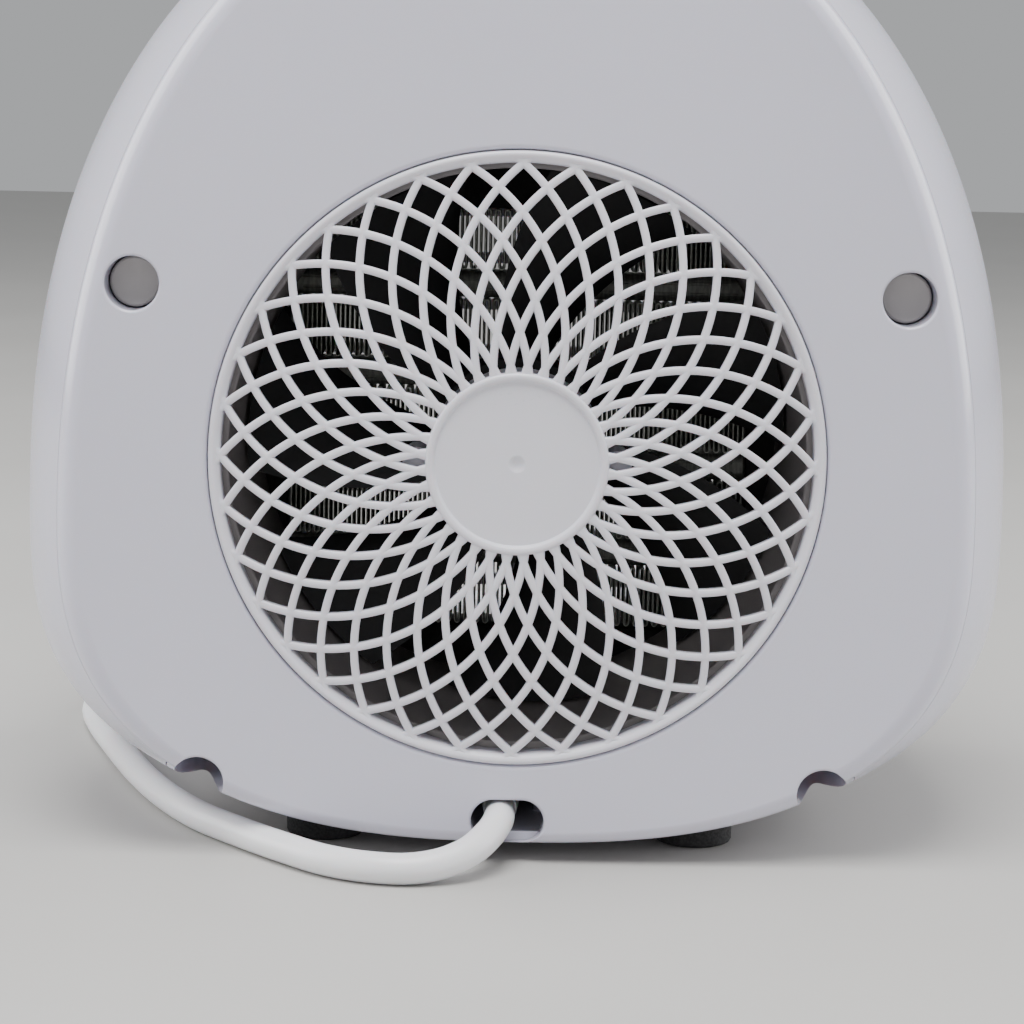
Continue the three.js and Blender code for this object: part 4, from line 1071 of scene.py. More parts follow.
@dataclass
class Housing:
    """The rear cover, the shell, the front outlet and the rubber feet."""

    form: BodyForm = field(default_factory=BodyForm)
    lip: float = 0.005
    lip_thickness: float = 0.0016
    grille_radius: float = 0.0685
    outlet_radius: float = 0.066
    outlet_open: float = 0.062
    slats: int = 10
    slat_width: float = 0.0032
    slat_depth: float = 0.004
    well_radius: float = 0.006
    well_wall: float = 0.002
    well_floor: float = 0.0024
    screw_hole: float = 0.002
    post_radius: float = 0.0045
    rib: float = 0.0024
    slot_middle: Flat = (0.0005, 0.0096)
    slot_size: Flat = (0.0164, 0.01)
    tip_hole: float = 0.0031
    foot_stem: float = 0.0026

    def build(self) -> None:
        """Makes every piece of the housing."""
        self._cover()
        self._shell()
        self._outlet()
        self._feet()
        self._plugs()

    def _wells(self) -> list[Flat]:
        """The places of the four screw wells, as (x, z)."""
        return [(middle_of(f"housing_screw_{n}").x, middle_of(f"housing_screw_{n}").z) for n in range(1, 5)]

    def _cutter(
        self, place: Matrix, radius: float, low: float, high: float, flare: float
    ) -> bpy.types.Object:
        """A round cutter that flares at its high end, which leaves a rounded edge there.

        Args:
            place: where local Z and the origin lie.
            radius: the radius of the straight part.
            low: the height where it starts.
            high: the height of the surface that it cuts.
            flare: the radius of the rounded edge.

        Returns:
            The cutter.
        """
        profile = [(0.0, low), (radius, low), *fillet(radius, radius + flare, high),
                   (radius + flare, high + 0.01), (0.0, high + 0.01)]
        return turned("cutter", profile, place, 96)

    def _rod(self, radius: float, x: float, z: float, low: float, high: float) -> bpy.types.Object:
        """A plain round bar along Y."""
        section = [(0.0, low), (radius, low), (radius, high), (0.0, high)]
        return turned("rod", section, LAYOUT.along_y(x, z), 48)

    def _cover(self) -> None:
        """The rear cover: a shallow tray with deep wells, a round grille hole and the cord's slot."""
        form, face = self.form, LAYOUT.cover_face
        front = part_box("rear_cover")[0].y
        cover = form.solid("rear_cover_skin", 0.0)
        boolean(cover, form.solid("inside", form.wall), "DIFFERENCE")
        boolean(cover, half_space(LAYOUT.parting + GAP, 1), "INTERSECT")
        lip = form.solid("lip", form.wall + GAP)
        boolean(lip, form.solid("inside", form.wall + GAP + self.lip_thickness), "DIFFERENCE")
        boolean(lip, half_space(LAYOUT.parting - self.lip, 1), "INTERSECT")
        boolean(lip, half_space(face - form.wall - 0.002, -1), "INTERSECT")
        boolean(cover, lip, "UNION")
        for x, z in self._wells():
            tube = self._rod(self.well_radius + self.well_wall, x, z, front, face - form.wall / 2)
            boolean(tube, form.solid("outside", 0.0), "INTERSECT")
            boolean(cover, tube, "UNION")
        hole = self._cutter(LAYOUT.fan_axis(), self.grille_radius + GAP, front, face, 0.0012)
        boolean(cover, hole, "DIFFERENCE")
        for x, z in self._wells():
            bore = self._cutter(
                LAYOUT.along_y(x, z), self.well_radius, front + self.well_floor, face, 0.0007)
            boolean(cover, bore, "DIFFERENCE")
            boolean(cover, self._rod(self.screw_hole, x, z, front - 0.001, face), "DIFFERENCE")
        boolean(cover, self._slot_cutter(face), "DIFFERENCE")
        dress(cover, GLOSSY_WHITE, HOUSING, "rear_cover", degrees=32)

    def _slot_cutter(self, face: float) -> bpy.types.Object:
        """The cord's slot: a stadium that flares at the face.

        Args:
            face: the depth of the cover's face.

        Returns:
            The cutter.
        """
        x, z = self.slot_middle
        width, tall = self.slot_size
        outlines = [(rounded_rectangle(width, tall, tall / 2 - 1e-5, 16), LAYOUT.parting - self.lip - 0.001)]
        for radius, at in fillet(0.0, 0.0008, face):
            corner = tall / 2 + radius - 1e-5
            outlines.append((rounded_rectangle(width + 2 * radius, tall + 2 * radius, corner, 16), at))
        outlines.append((outlines[-1][0], face + 0.01))
        return slab("slot", outlines, LAYOUT.along_y(x, z))

    def _shell(self) -> None:
        """The main shell with its outlet hole, control opening, posts and holes underneath."""
        form = self.form
        shell = form.solid("main_shell", 0.0)
        boolean(shell, form.solid("inside", form.wall), "DIFFERENCE")
        inner = self._posts()
        boolean(inner, form.solid("outside", form.wall / 2), "INTERSECT")
        boolean(shell, half_space(LAYOUT.parting, -1), "INTERSECT")
        boolean(shell, inner, "UNION")
        axis = LAYOUT.fan_axis() @ Matrix.Rotation(math.pi, 4, "X")
        face = -form.front_y
        boolean(shell, self._cutter(axis, self.outlet_radius + GAP, face - 0.006, face, 0.0012), "DIFFERENCE")
        for x, z in self._wells():
            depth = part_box("rear_cover")[0].y
            clear = self._rod(self.well_radius + self.well_wall + GAP, x, z, depth - GAP, form.rear_y + 0.01)
            boolean(shell, clear, "DIFFERENCE")
            boolean(shell, self._rod(self.screw_hole, x, z, depth - 0.0145, depth + 0.001), "DIFFERENCE")
        self._cut_panel_opening(shell)
        for n in range(1, 5):
            foot = middle_of(f"rubber_foot_{n}")
            self._drill(shell, foot, self.foot_stem + GAP)
        self._drill(shell, middle_of("tip_plunger"), self.tip_hole)
        dress(shell, GLOSSY_WHITE, HOUSING, "housing_shell", degrees=32)

    def _drill(self, shell: bpy.types.Object, place: Vector, radius: float) -> None:
        """Drills an upright hole through the shell's floor.

        Args:
            shell: the shell.
            place: a point on the hole's axis.
            radius: the hole's radius.
        """
        hole = turned("hole", [(0.0, 0.0), (radius, 0.0), (radius, 0.016), (0.0, 0.016)],
                      Matrix.Translation((place.x, place.y, 0.0)), 40)
        boolean(shell, hole, "DIFFERENCE")

    def _cut_panel_opening(self, shell: bpy.types.Object) -> None:
        """The stadium opening in the top that the control panel sits in.

        Args:
            shell: the shell.
        """
        low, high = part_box("control_panel")
        middle = (low + high) / 2
        width, depth = high.x - low.x + 2 * GAP, high.y - low.y + 2 * GAP
        outline = rounded_rectangle(width, depth, depth / 2 - 1e-5, 24)
        place = Matrix.Translation((middle.x, middle.y, 0.0))
        boolean(shell, slab("opening", [(outline, low.z - 0.002), (outline, self.form.top + 0.01)], place),
                "DIFFERENCE")

    def _posts(self) -> bpy.types.Object:
        """The screw posts inside the shell, in one object.

        Returns:
            The posts, still unjoined to the shell.
        """
        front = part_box("rear_cover")[0].y
        posts = []
        for x, z in self._wells():
            low, high = front - GAP - 0.016, front - GAP
            post = self._rod(self.post_radius, x, z, low, high)
            side = math.copysign(1.0, x)
            rib = eased_box("rib", (0.1, high - low, self.rib),
                            Matrix.Translation((x + side * 0.05, (low + high) / 2, z)), 0.0005, 0.0005, 2)
            posts.append(boolean(post, rib, "UNION"))
        for n in range(1, 5):
            screw = middle_of(f"element_screw_{n}")
            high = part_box("element_frame")[1].y - 0.0026
            posts.append(self._rod(self.post_radius, screw.x, screw.z, self.form.front_y, high))
        for n in (1, 2):
            screw = middle_of(f"clamp_screw_{n}")
            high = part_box("cord_clamp")[0].z - GAP
            posts.append(turned("post", [(0.0, 0.0), (0.0034, 0.0), (0.0034, high), (0.0, high)],
                                Matrix.Translation((screw.x, screw.y, 0.0)), 32))
        return joined("posts", posts)

    def _outlet(self) -> None:
        """The round front outlet: slats and a spine inside a ring."""
        face, ring_radius, open_radius = -self.form.front_y, self.outlet_radius, self.outlet_open
        axis = LAYOUT.fan_axis() @ Matrix.Rotation(math.pi, 4, "X")
        back = face - self.form.wall - GAP
        ring = turned("front_outlet", [
            (open_radius, back - 0.0033), (ring_radius + 0.003, back - 0.0033), (ring_radius + 0.003, back),
            (ring_radius, back), (ring_radius, face - 0.0006), (ring_radius - 0.0006, face),
            (open_radius + 0.0012, face), (open_radius + 0.0004, face - 0.0004), (open_radius, face - 0.0012),
            (open_radius, back - 0.0033),
        ], axis, 144)
        pitch = 2 * open_radius / self.slats
        bars = []
        for k in range(1, self.slats):
            up = -open_radius + k * pitch
            reach = 2 * math.sqrt((open_radius + 0.001) ** 2 - up**2)
            middle = face - 0.0006 - self.slat_depth / 2
            bars.append(eased_box("slat", (reach, self.slat_width, self.slat_depth),
                                  axis @ Matrix.Translation((0.0, up, middle)), 0.0007, 0.0009, 4))
        spine = eased_box("spine", (0.003, 2 * open_radius + 0.001, 0.0028),
                          axis @ Matrix.Translation((0.0, 0.0, face - 0.0026)), 0.0005, 0.0008, 4)
        slats = joined("slats", bars)
        boolean(slats, spine, "UNION")
        boolean(ring, slats, "UNION")
        dress(ring, GRILLE_WHITE, HOUSING, "front_grille")

    def _feet(self) -> None:
        """Four rubber feet with eased edges, shaped to the curved underside."""
        for n in range(1, 5):
            node = f"rubber_foot_{n}"
            low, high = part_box(node)
            middle, radius = (low + high) / 2, (high.x - low.x) / 2
            place = Matrix.Translation((middle.x, middle.y, 0.0))
            pad = turned("rubber_pad_" + str(n), [
                (0.0, 0.0008), (radius * 0.45, 0.0008), (radius * 0.52, 0.0), (radius - 0.0012, 0.0),
                (radius - 0.0004, 0.0003), (radius, 0.001), (radius, 0.009), (0.0, 0.009),
            ], place, 64)
            boolean(pad, self.form.solid("body", -GAP), "DIFFERENCE")
            stem = turned("stem", [(0.0, 0.003), (self.foot_stem, 0.003), (self.foot_stem, high.z - 0.001),
                                   (self.foot_stem - 0.001, high.z), (0.0, high.z)], place, 32)
            boolean(pad, stem, "UNION")
            dress(pad, RUBBER, HOUSING, node)


    def _plugs(self) -> None:
        """The two smooth plugs that close the upper wells, slightly dished, coloured warm grey as painted
        shade of the deep wells.
        """
        for n in (1, 2):
            node = f"well_plug_{n}"
            low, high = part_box(node)
            radius, face, inner = (high.x - low.x) / 2, high.y, 0.0043
            dish = [(radius * share, face - 0.0005 * (1 - share**2)) for share in (0.75, 0.5, 0.25, 0.0)]
            plug = turned(f"well_cap_{n}", [
                (0.0, face - 0.002), (inner, face - 0.002), (inner, low.y), (radius, low.y),
                (radius, face - 0.0006), (radius - 0.0002, face - 0.0002), (radius - 0.0006, face),
                (radius * 0.85, face - 0.0001), *dish,
            ], LAYOUT.along_y(middle_of(node).x, middle_of(node).z), 72)
            # The plugs' warm grey is painted shade of the wells, not the plugs' own colour.
            dress(plug, WELL_SHADE_PLUG_GREY, HOUSING, node)


# ---- Rear grille ----------------------------------------------------------------------------


@dataclass
class RearGrille:
    """Two crossing families of curved ribs between a hub disc and a raised ring, slightly domed."""

    ribs: int = 36
    open_radius: float = 0.0658
    ring_radius: float = 0.0685
    flange_radius: float = 0.072
    flange: float = 0.002
    thickness: float = 0.0026
    rib_width: float = 0.0018
    sweep: float = 0.0862
    hub_radius: float = 0.0185
    hub_ring: float = 0.0203
    hub_recess: float = 0.001
    ring_rise: float = 0.0004
    dimple: float = 0.0016
    steps: int = 30

    def build(self) -> None:
        """Makes the whole grille as one moulding."""
        grille = self._family("rear_inlet_grille", 1.0)
        boolean(grille, self._family("family", -1.0), "UNION")
        boolean(grille, self._ring(), "UNION")
        boolean(grille, self._hub(), "UNION")
        dress(grille, GRILLE_WHITE, HOUSING, "rear_grille", degrees=40)

    def _rise(self, radius: float) -> float:
        """How far the ribs stand over the cover's face at a radius.

        Args:
            radius: the distance from the grille's axis.

        Returns:
            The rise.
        """
        dome = LAYOUT.hub_face - LAYOUT.cover_face - self.ring_rise
        share = (radius - self.hub_ring) / (self.open_radius - self.hub_ring)
        return dome * (1 - min(max(share, 0.0), 1.0) ** 2)

    def _rib(self, tip: float, side: float) -> bpy.types.Object:
        """One curved rib with a rounded crown.

        Args:
            tip: the turn of its outer end, in radians.
            side: +1 or -1, the way it curls.

        Returns:
            The rib as a closed bar.
        """
        half, deep = self.rib_width / 2, self.thickness
        section = [(-half * 0.86, -deep), (-half, -0.0006)]
        section += [(-half * math.cos(a), -0.0006 + 0.0006 * math.sin(a)) for a in (0.35, 0.75, 1.15)]
        section.append((0.0, 0.0))
        section += [(-x, z) for x, z in reversed(section[:-1])]
        place = LAYOUT.fan_axis(LAYOUT.cover_face)
        start, end = self.hub_ring - 0.0012, self.open_radius + 0.0014
        whole = math.acos(self.open_radius / self.sweep)
        path = []
        for i in range(self.steps + 1):
            radius = start + (end - start) * i / self.steps
            turn = tip + side * (math.acos(radius / self.sweep) - whole)
            path.append(Vector((radius * math.cos(turn), radius * math.sin(turn), self._rise(radius))))
        rings = []
        for i, centre in enumerate(path):
            along = path[min(i + 1, self.steps)] - path[max(i - 1, 0)]
            across = Vector((-along.y, along.x, 0.0)).normalized()
            rings.append([place @ (centre + across * u + Vector((0.0, 0.0, v))) for u, v in section])
        return loft("rib", rings)

    def _family(self, name: str, side: float) -> bpy.types.Object:
        """All the ribs that curl one way."""
        return joined(name, [self._rib(2 * math.pi * k / self.ribs, side) for k in range(self.ribs)])

    def _ring(self) -> bpy.types.Object:
        """The ring round the ribs: a sloping inner band, a raised crest and a hidden flange.

        Returns:
            The ring.
        """
        inner, back = self.open_radius, -self.thickness
        return turned("ring", [
            (inner, back - self.flange), (self.flange_radius, back - self.flange), (self.flange_radius, back),
            (self.ring_radius, back), (self.ring_radius, -0.0003), (self.ring_radius - 0.0002, 0.0001),
            (self.ring_radius - 0.0006, self.ring_rise), (self.ring_radius - 0.0011, self.ring_rise),
            (self.ring_radius - 0.0016, 0.0001), (inner + 0.0004, -0.0005), (inner, -0.001),
            (inner, back - self.flange),
        ], LAYOUT.fan_axis(LAYOUT.cover_face), 288)

    def _hub(self) -> bpy.types.Object:
        """The recessed hub disc with its dimple, and the cup behind it that seats the motor.

        Returns:
            The hub with its cup and ears.
        """
        low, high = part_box("fan_motor")
        bore = 0.0173
        seat = LAYOUT.hub_face - self.thickness - GAP - 0.009 - LAYOUT.hub_face
        rim, recess = self.hub_ring, -self.hub_recess
        profile = [
            (0.0, -self.thickness), (bore, -self.thickness), (bore, seat), (rim, seat), (rim, -0.0012),
            (rim - 0.00015, -0.0004), (rim - 0.0005, -0.0001), (rim - 0.0009, 0.0),
            (self.hub_radius + 0.0003, -0.0001), (self.hub_radius, -0.0004),
            (self.hub_radius - 0.0001, recess + 0.0003), (self.hub_radius - 0.0004, recess),
            (self.dimple + 0.0005, recess), (self.dimple + 0.0001, recess - 0.0001),
            (self.dimple * 0.6, recess - 0.0006), (0.0, recess - 0.0008),
        ]
        hub = turned("hub", profile, LAYOUT.fan_axis(LAYOUT.hub_face), 192)
        for number in (1, 2):
            screw = middle_of(f"motor_screw_{number}")
            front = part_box("motor_retainer")[1].y + GAP
            ear = turned("ear", [(0.0, front), (0.003, front), (0.003, LAYOUT.hub_face - 0.0046),
                                 (0.0, LAYOUT.hub_face - 0.0046)], LAYOUT.along_y(screw.x, screw.z), 32)
            boolean(hub, ear, "UNION")
        clear = turned("clear", [(0.0, low.y), (bore, low.y), (bore, high.y), (0.0, high.y)],
                       LAYOUT.fan_axis(), 96)
        return boolean(hub, clear, "DIFFERENCE")


# ---- Fan ------------------------------------------------------------------------------------


@dataclass
class FanUnit:
    """The impeller, its motor and the duct that they run in."""

    blades: int = 7
    hub_radius: float = 0.02
    wall: float = 0.0018
    thickness: float = 0.0016
    blade_turn: float = 34.0
    sweep: float = -20.0
    pitch: float = 0.014
    first_blade: float = 205.7
    duct_radius: float = 0.0645
    tip_gap: float = 0.001

    def build(self) -> None:
        """Makes the fan's pieces."""
        self._impeller()
        self._duct()
        self._motor()
        for node in ("motor_retainer", "motor_shaft", "impeller_clip"):
            dress_node(node, STEEL, 0.0002)

    def _blade(self, middle: float) -> bpy.types.Object:
        """One swept and pitched blade, thinning towards its edges.

        Args:
            middle: the turn of the blade's middle, in degrees.

        Returns:
            The blade as a closed body.
        """
        low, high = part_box("impeller")
        rear, depth = high.y, high.y - low.y
        across, along = 22, 16
        tip, root = self.duct_radius - self.tip_gap, self.hub_radius - self.wall / 2

        def point(u: float, v: float, face: float) -> Vector:
            """A point of one face, a share u out from the hub and v along the chord.

            Args:
                u: the share out from the hub.
                v: the share along the chord.
                face: -1 for the front face or +1 for the rear one.

            Returns:
                The point.
            """
            radius = root + (tip - root) * u
            turn = math.radians(middle + self.sweep * (u - 0.5) + self.blade_turn * (v - 0.5))
            thin = 0.25 + 0.75 * math.sqrt(max(0.0, 1 - (2 * v - 1) ** 2))
            camber = 0.0009 * (1 - (2 * v - 1) ** 2)
            y = rear - depth / 2 + self.pitch * (v - 0.5) + camber + face * thin * self.thickness / 2
            return LAYOUT.fan_axis() @ Vector((radius * math.cos(turn), radius * math.sin(turn), y))

        rings = []
        for i in range(across + 1):
            row = [point(i / across, j / along, -1.0) for j in range(along + 1)]
            row += [point(i / across, j / along, 1.0) for j in range(along, -1, -1)]
            rings.append(row)
        return loft("blade", rings)

    def _impeller(self) -> None:
        """The seven-bladed wheel."""
        low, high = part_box("impeller")
        front, rear, r, w = low.y, high.y, self.hub_radius, self.wall
        bore = 0.0018
        wheel = turned("fan_wheel", [
            (bore, front), (0.005, front), (0.005, rear - w), (r - w, rear - w), (r - w, front),
            (r - 0.0004, front), (r, front + 0.0004), (r, rear - 0.0016), (r - 0.0005, rear - 0.0005),
            (r - 0.0016, rear), (bore + 0.0004, rear), (bore, rear - 0.0004), (bore, front),
        ], LAYOUT.fan_axis(), 96)
        blades = [self._blade(self.first_blade + k * 360 / self.blades) for k in range(self.blades)]
        boolean(wheel, joined("blades", blades), "UNION")
        dress(wheel, FAN_BLACK, "fan", "impeller")

    def _duct(self) -> None:
        """The round duct with its square mounting plate."""
        low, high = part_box("fan_duct")
        plate_front, rear = low.y, high.y
        inner, wall, plate = self.duct_radius, 0.0022, 0.0025
        middle = middle_of("fan_duct")
        outline = rounded_rectangle(high.x - low.x, high.z - low.z, 0.006, 10)
        place = LAYOUT.along_y(middle.x, middle.z)
        inset = rounded_rectangle(high.x - low.x - 0.001, high.z - low.z - 0.001, 0.0055, 10)
        duct = slab("air_duct", [(inset, plate_front), (outline, plate_front + 0.0005),
                                 (outline, plate_front + plate - 0.0005),
                                 (inset, plate_front + plate)], place)
        tube = turned("tube", [(0.0, plate_front + 0.0005), (inner + wall, plate_front + 0.0005),
                               (inner + wall, rear - 0.0005), (inner + wall - 0.0005, rear), (0.0, rear)],
                      LAYOUT.fan_axis(), 192)
        boolean(duct, tube, "UNION")
        bore = turned("bore", [(0.0, plate_front - 0.001), (inner, plate_front - 0.001),
                               *fillet(inner, inner + 0.0006, rear, 4), (inner + 0.0006, rear + 0.001),
                               (0.0, rear + 0.001)], LAYOUT.fan_axis(), 192)
        boolean(duct, bore, "DIFFERENCE")
        for number in range(1, 5):
            screw = middle_of(f"element_screw_{number}")
            hole = turned("hole", [(0.0, plate_front - 0.001), (0.0016, plate_front - 0.001),
                                   (0.0016, plate_front + 0.004), (0.0, plate_front + 0.004)],
                          LAYOUT.along_y(screw.x, screw.z), 24)
            boolean(duct, hole, "DIFFERENCE")
        dress(duct, DUCT_BROWN, HOUSING, "fan_duct")

    def _motor(self) -> None:
        """The motor's drawn steel can with its seam, flange and bearing boss."""
        low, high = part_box("fan_motor")
        rear, front, flange = high.y, low.y, (high.x - low.x) / 2
        radius = flange - 0.002
        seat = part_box("motor_retainer")[1].y
        bore = 0.0018
        can = turned("motor_can", [
            (0.0, rear), (radius - 0.0012, rear), (radius - 0.0003, rear - 0.0004), (radius, rear - 0.0012),
            (radius, seat + 0.003), (flange - 0.0003, seat + 0.0023), (flange, seat + 0.002),
            (flange, seat + GAP),
            (flange - 0.0003, seat + GAP), (radius - 0.0009, seat + GAP), (radius - 0.0009, front + 0.0054),
            (radius - 0.0021, front + 0.0042), (0.0078, front + 0.004), (0.007, front + 0.0034),
            (0.007, front + 0.0004), (0.0066, front), (bore, front), (bore, rear - 0.003),
            (0.0, rear - 0.003),
        ], LAYOUT.fan_axis(), 96)
        dress(can, STEEL, HOUSING, "fan_motor")


# ---- Heating element ------------------------------------------------------------------------


@dataclass
class HeatingElement:
    """Folded fin banks between flat heater bars, held in a dark frame."""

    banks: int = 5
    folds: int = 48
    sheet: float = 0.00022
    rows: int = 9
    ripple: float = 0.00022

    def build(self) -> None:
        """Makes the element's pieces."""
        for n in range(1, self.banks + 1):
            self._fins(n)
        for n in range(1, self.banks):
            self._bar(n)
        dress_node("element_frame", FRAME_BROWN, 0.0005)
        dress_node("thermal_cutout", KNOB_GREY, 0.0004)

    def _fold_line(self, low: Vector, high: Vector) -> list[Flat]:
        """The folded sheet's middle line, up and down between the bars, as (x, z).

        Args:
            low: the low corner of the bank's box.
            high: its high corner.

        Returns:
            The points of the line.
        """
        runs = 2 * self.folds
        pitch = (high.x - low.x - 2 * self.sheet) / runs
        bend = pitch / 2
        line = []
        for k in range(runs):
            x = low.x + self.sheet + pitch * (k + 0.5)
            upwards = k % 2 == 0
            bottom, top = low.z + bend + self.sheet, high.z - bend - self.sheet
            line += [(x, bottom if upwards else top), (x, top if upwards else bottom)]
            if k + 1 < runs:
                for i in range(1, 6):
                    turn = math.pi * i / 6
                    rise = bend * math.sin(turn)
                    line.append((x + bend - bend * math.cos(turn), top + rise if upwards else bottom - rise))
        return line

    def _fins(self, number: int) -> None:
        """One bank of fins: a thin sheet folded up and down, slightly rippled along its depth.

        Args:
            number: which bank.
        """
        node = f"fin_bank_{number}"
        low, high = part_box(node)
        line = self._fold_line(low, high)
        count = len(line)
        sides = []
        for side in (1.0, -1.0):
            outline = []
            for i, (x, z) in enumerate(line):
                before, after = line[max(i - 1, 0)], line[min(i + 1, count - 1)]
                along = Vector((after[0] - before[0], after[1] - before[1])).normalized()
                outline.append((x - side * along.y * self.sheet / 2, z + side * along.x * self.sheet / 2))
            sides.append(outline)
        ring = [*sides[0], *reversed(sides[1])]
        rings = []
        for k in range(self.rows + 1):
            y = low.y + (high.y - low.y) * k / self.rows
            shift = self.ripple * (1 if k % 2 else -1) * (0 < k < self.rows)
            rings.append([(x + shift, y, z) for x, z in ring])
        fins = self._sheet_object(f"folded_fins_{number}", rings, count)
        dress(fins, FIN_SILVER, HOUSING, node, degrees=50)

    @staticmethod
    def _sheet_object(name: str, rings: Sequence[Sequence[Point]], count: int) -> bpy.types.Object:
        """The folded sheet as a closed skin, whose ends are strips rather than one face.

        Args:
            name: the piece's name.
            rings: the folded outline at each depth.
            count: points along one side of the outline.

        Returns:
            The sheet.
        """
        whole = 2 * count
        points = [p for ring in rings for p in ring]
        faces = [
            (i * whole + j, i * whole + (j + 1) % whole,
             (i + 1) * whole + (j + 1) % whole, (i + 1) * whole + j)
            for i in range(len(rings) - 1)
            for j in range(whole)
        ]
        for base in (0, (len(rings) - 1) * whole):
            faces += [
                (base + j, base + j + 1, base + whole - 2 - j, base + whole - 1 - j) for j in range(count - 1)
            ]
        return mesh_object(name, points, faces)

    def _bar(self, number: int) -> None:
        """One flat heater bar with rounded sides and shallow grooves along it.

        Args:
            number: which bar.
        """
        node = f"heater_bar_{number}"
        low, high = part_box(node)
        deep, tall = high.y - low.y, high.z - low.z
        outline = rounded_rectangle(deep, tall, 0.0022, 8)
        place = (
            Matrix.Translation((low.x, (low.y + high.y) / 2, (low.z + high.z) / 2))
            @ Matrix.Rotation(math.pi / 2, 4, "Z") @ Matrix.Rotation(math.pi / 2, 4, "X")
        )
        inset = rounded_rectangle(deep - 0.001, tall - 0.001, 0.0018, 8)
        length = high.x - low.x
        bar = slab(f"flat_heater_bar_{number}", [(inset, 0.0), (outline, 0.0005), (outline, length - 0.0005),
                                                (inset, length)], place)
        for side in (-1, 1):
            for up in (-1, 1):
                groove = eased_box(
                    "groove", (length - 0.006, 0.0012, 0.0008),
                    Matrix.Translation((low.x + length / 2, (low.y + high.y) / 2 + side * deep / 2,
                                        (low.z + high.z) / 2 + up * tall / 5)),
                    0.0004, 0.0003, 3)
                boolean(bar, groove, "DIFFERENCE")
        dress(bar, BAR_SILVER, HOUSING, node)


# ---- Controls -------------------------------------------------------------------------------


@dataclass
class Dial:
    """One knob: what it is called, its body and how far it turns."""

    word: str
    body: str
    turn: float
    marks: int


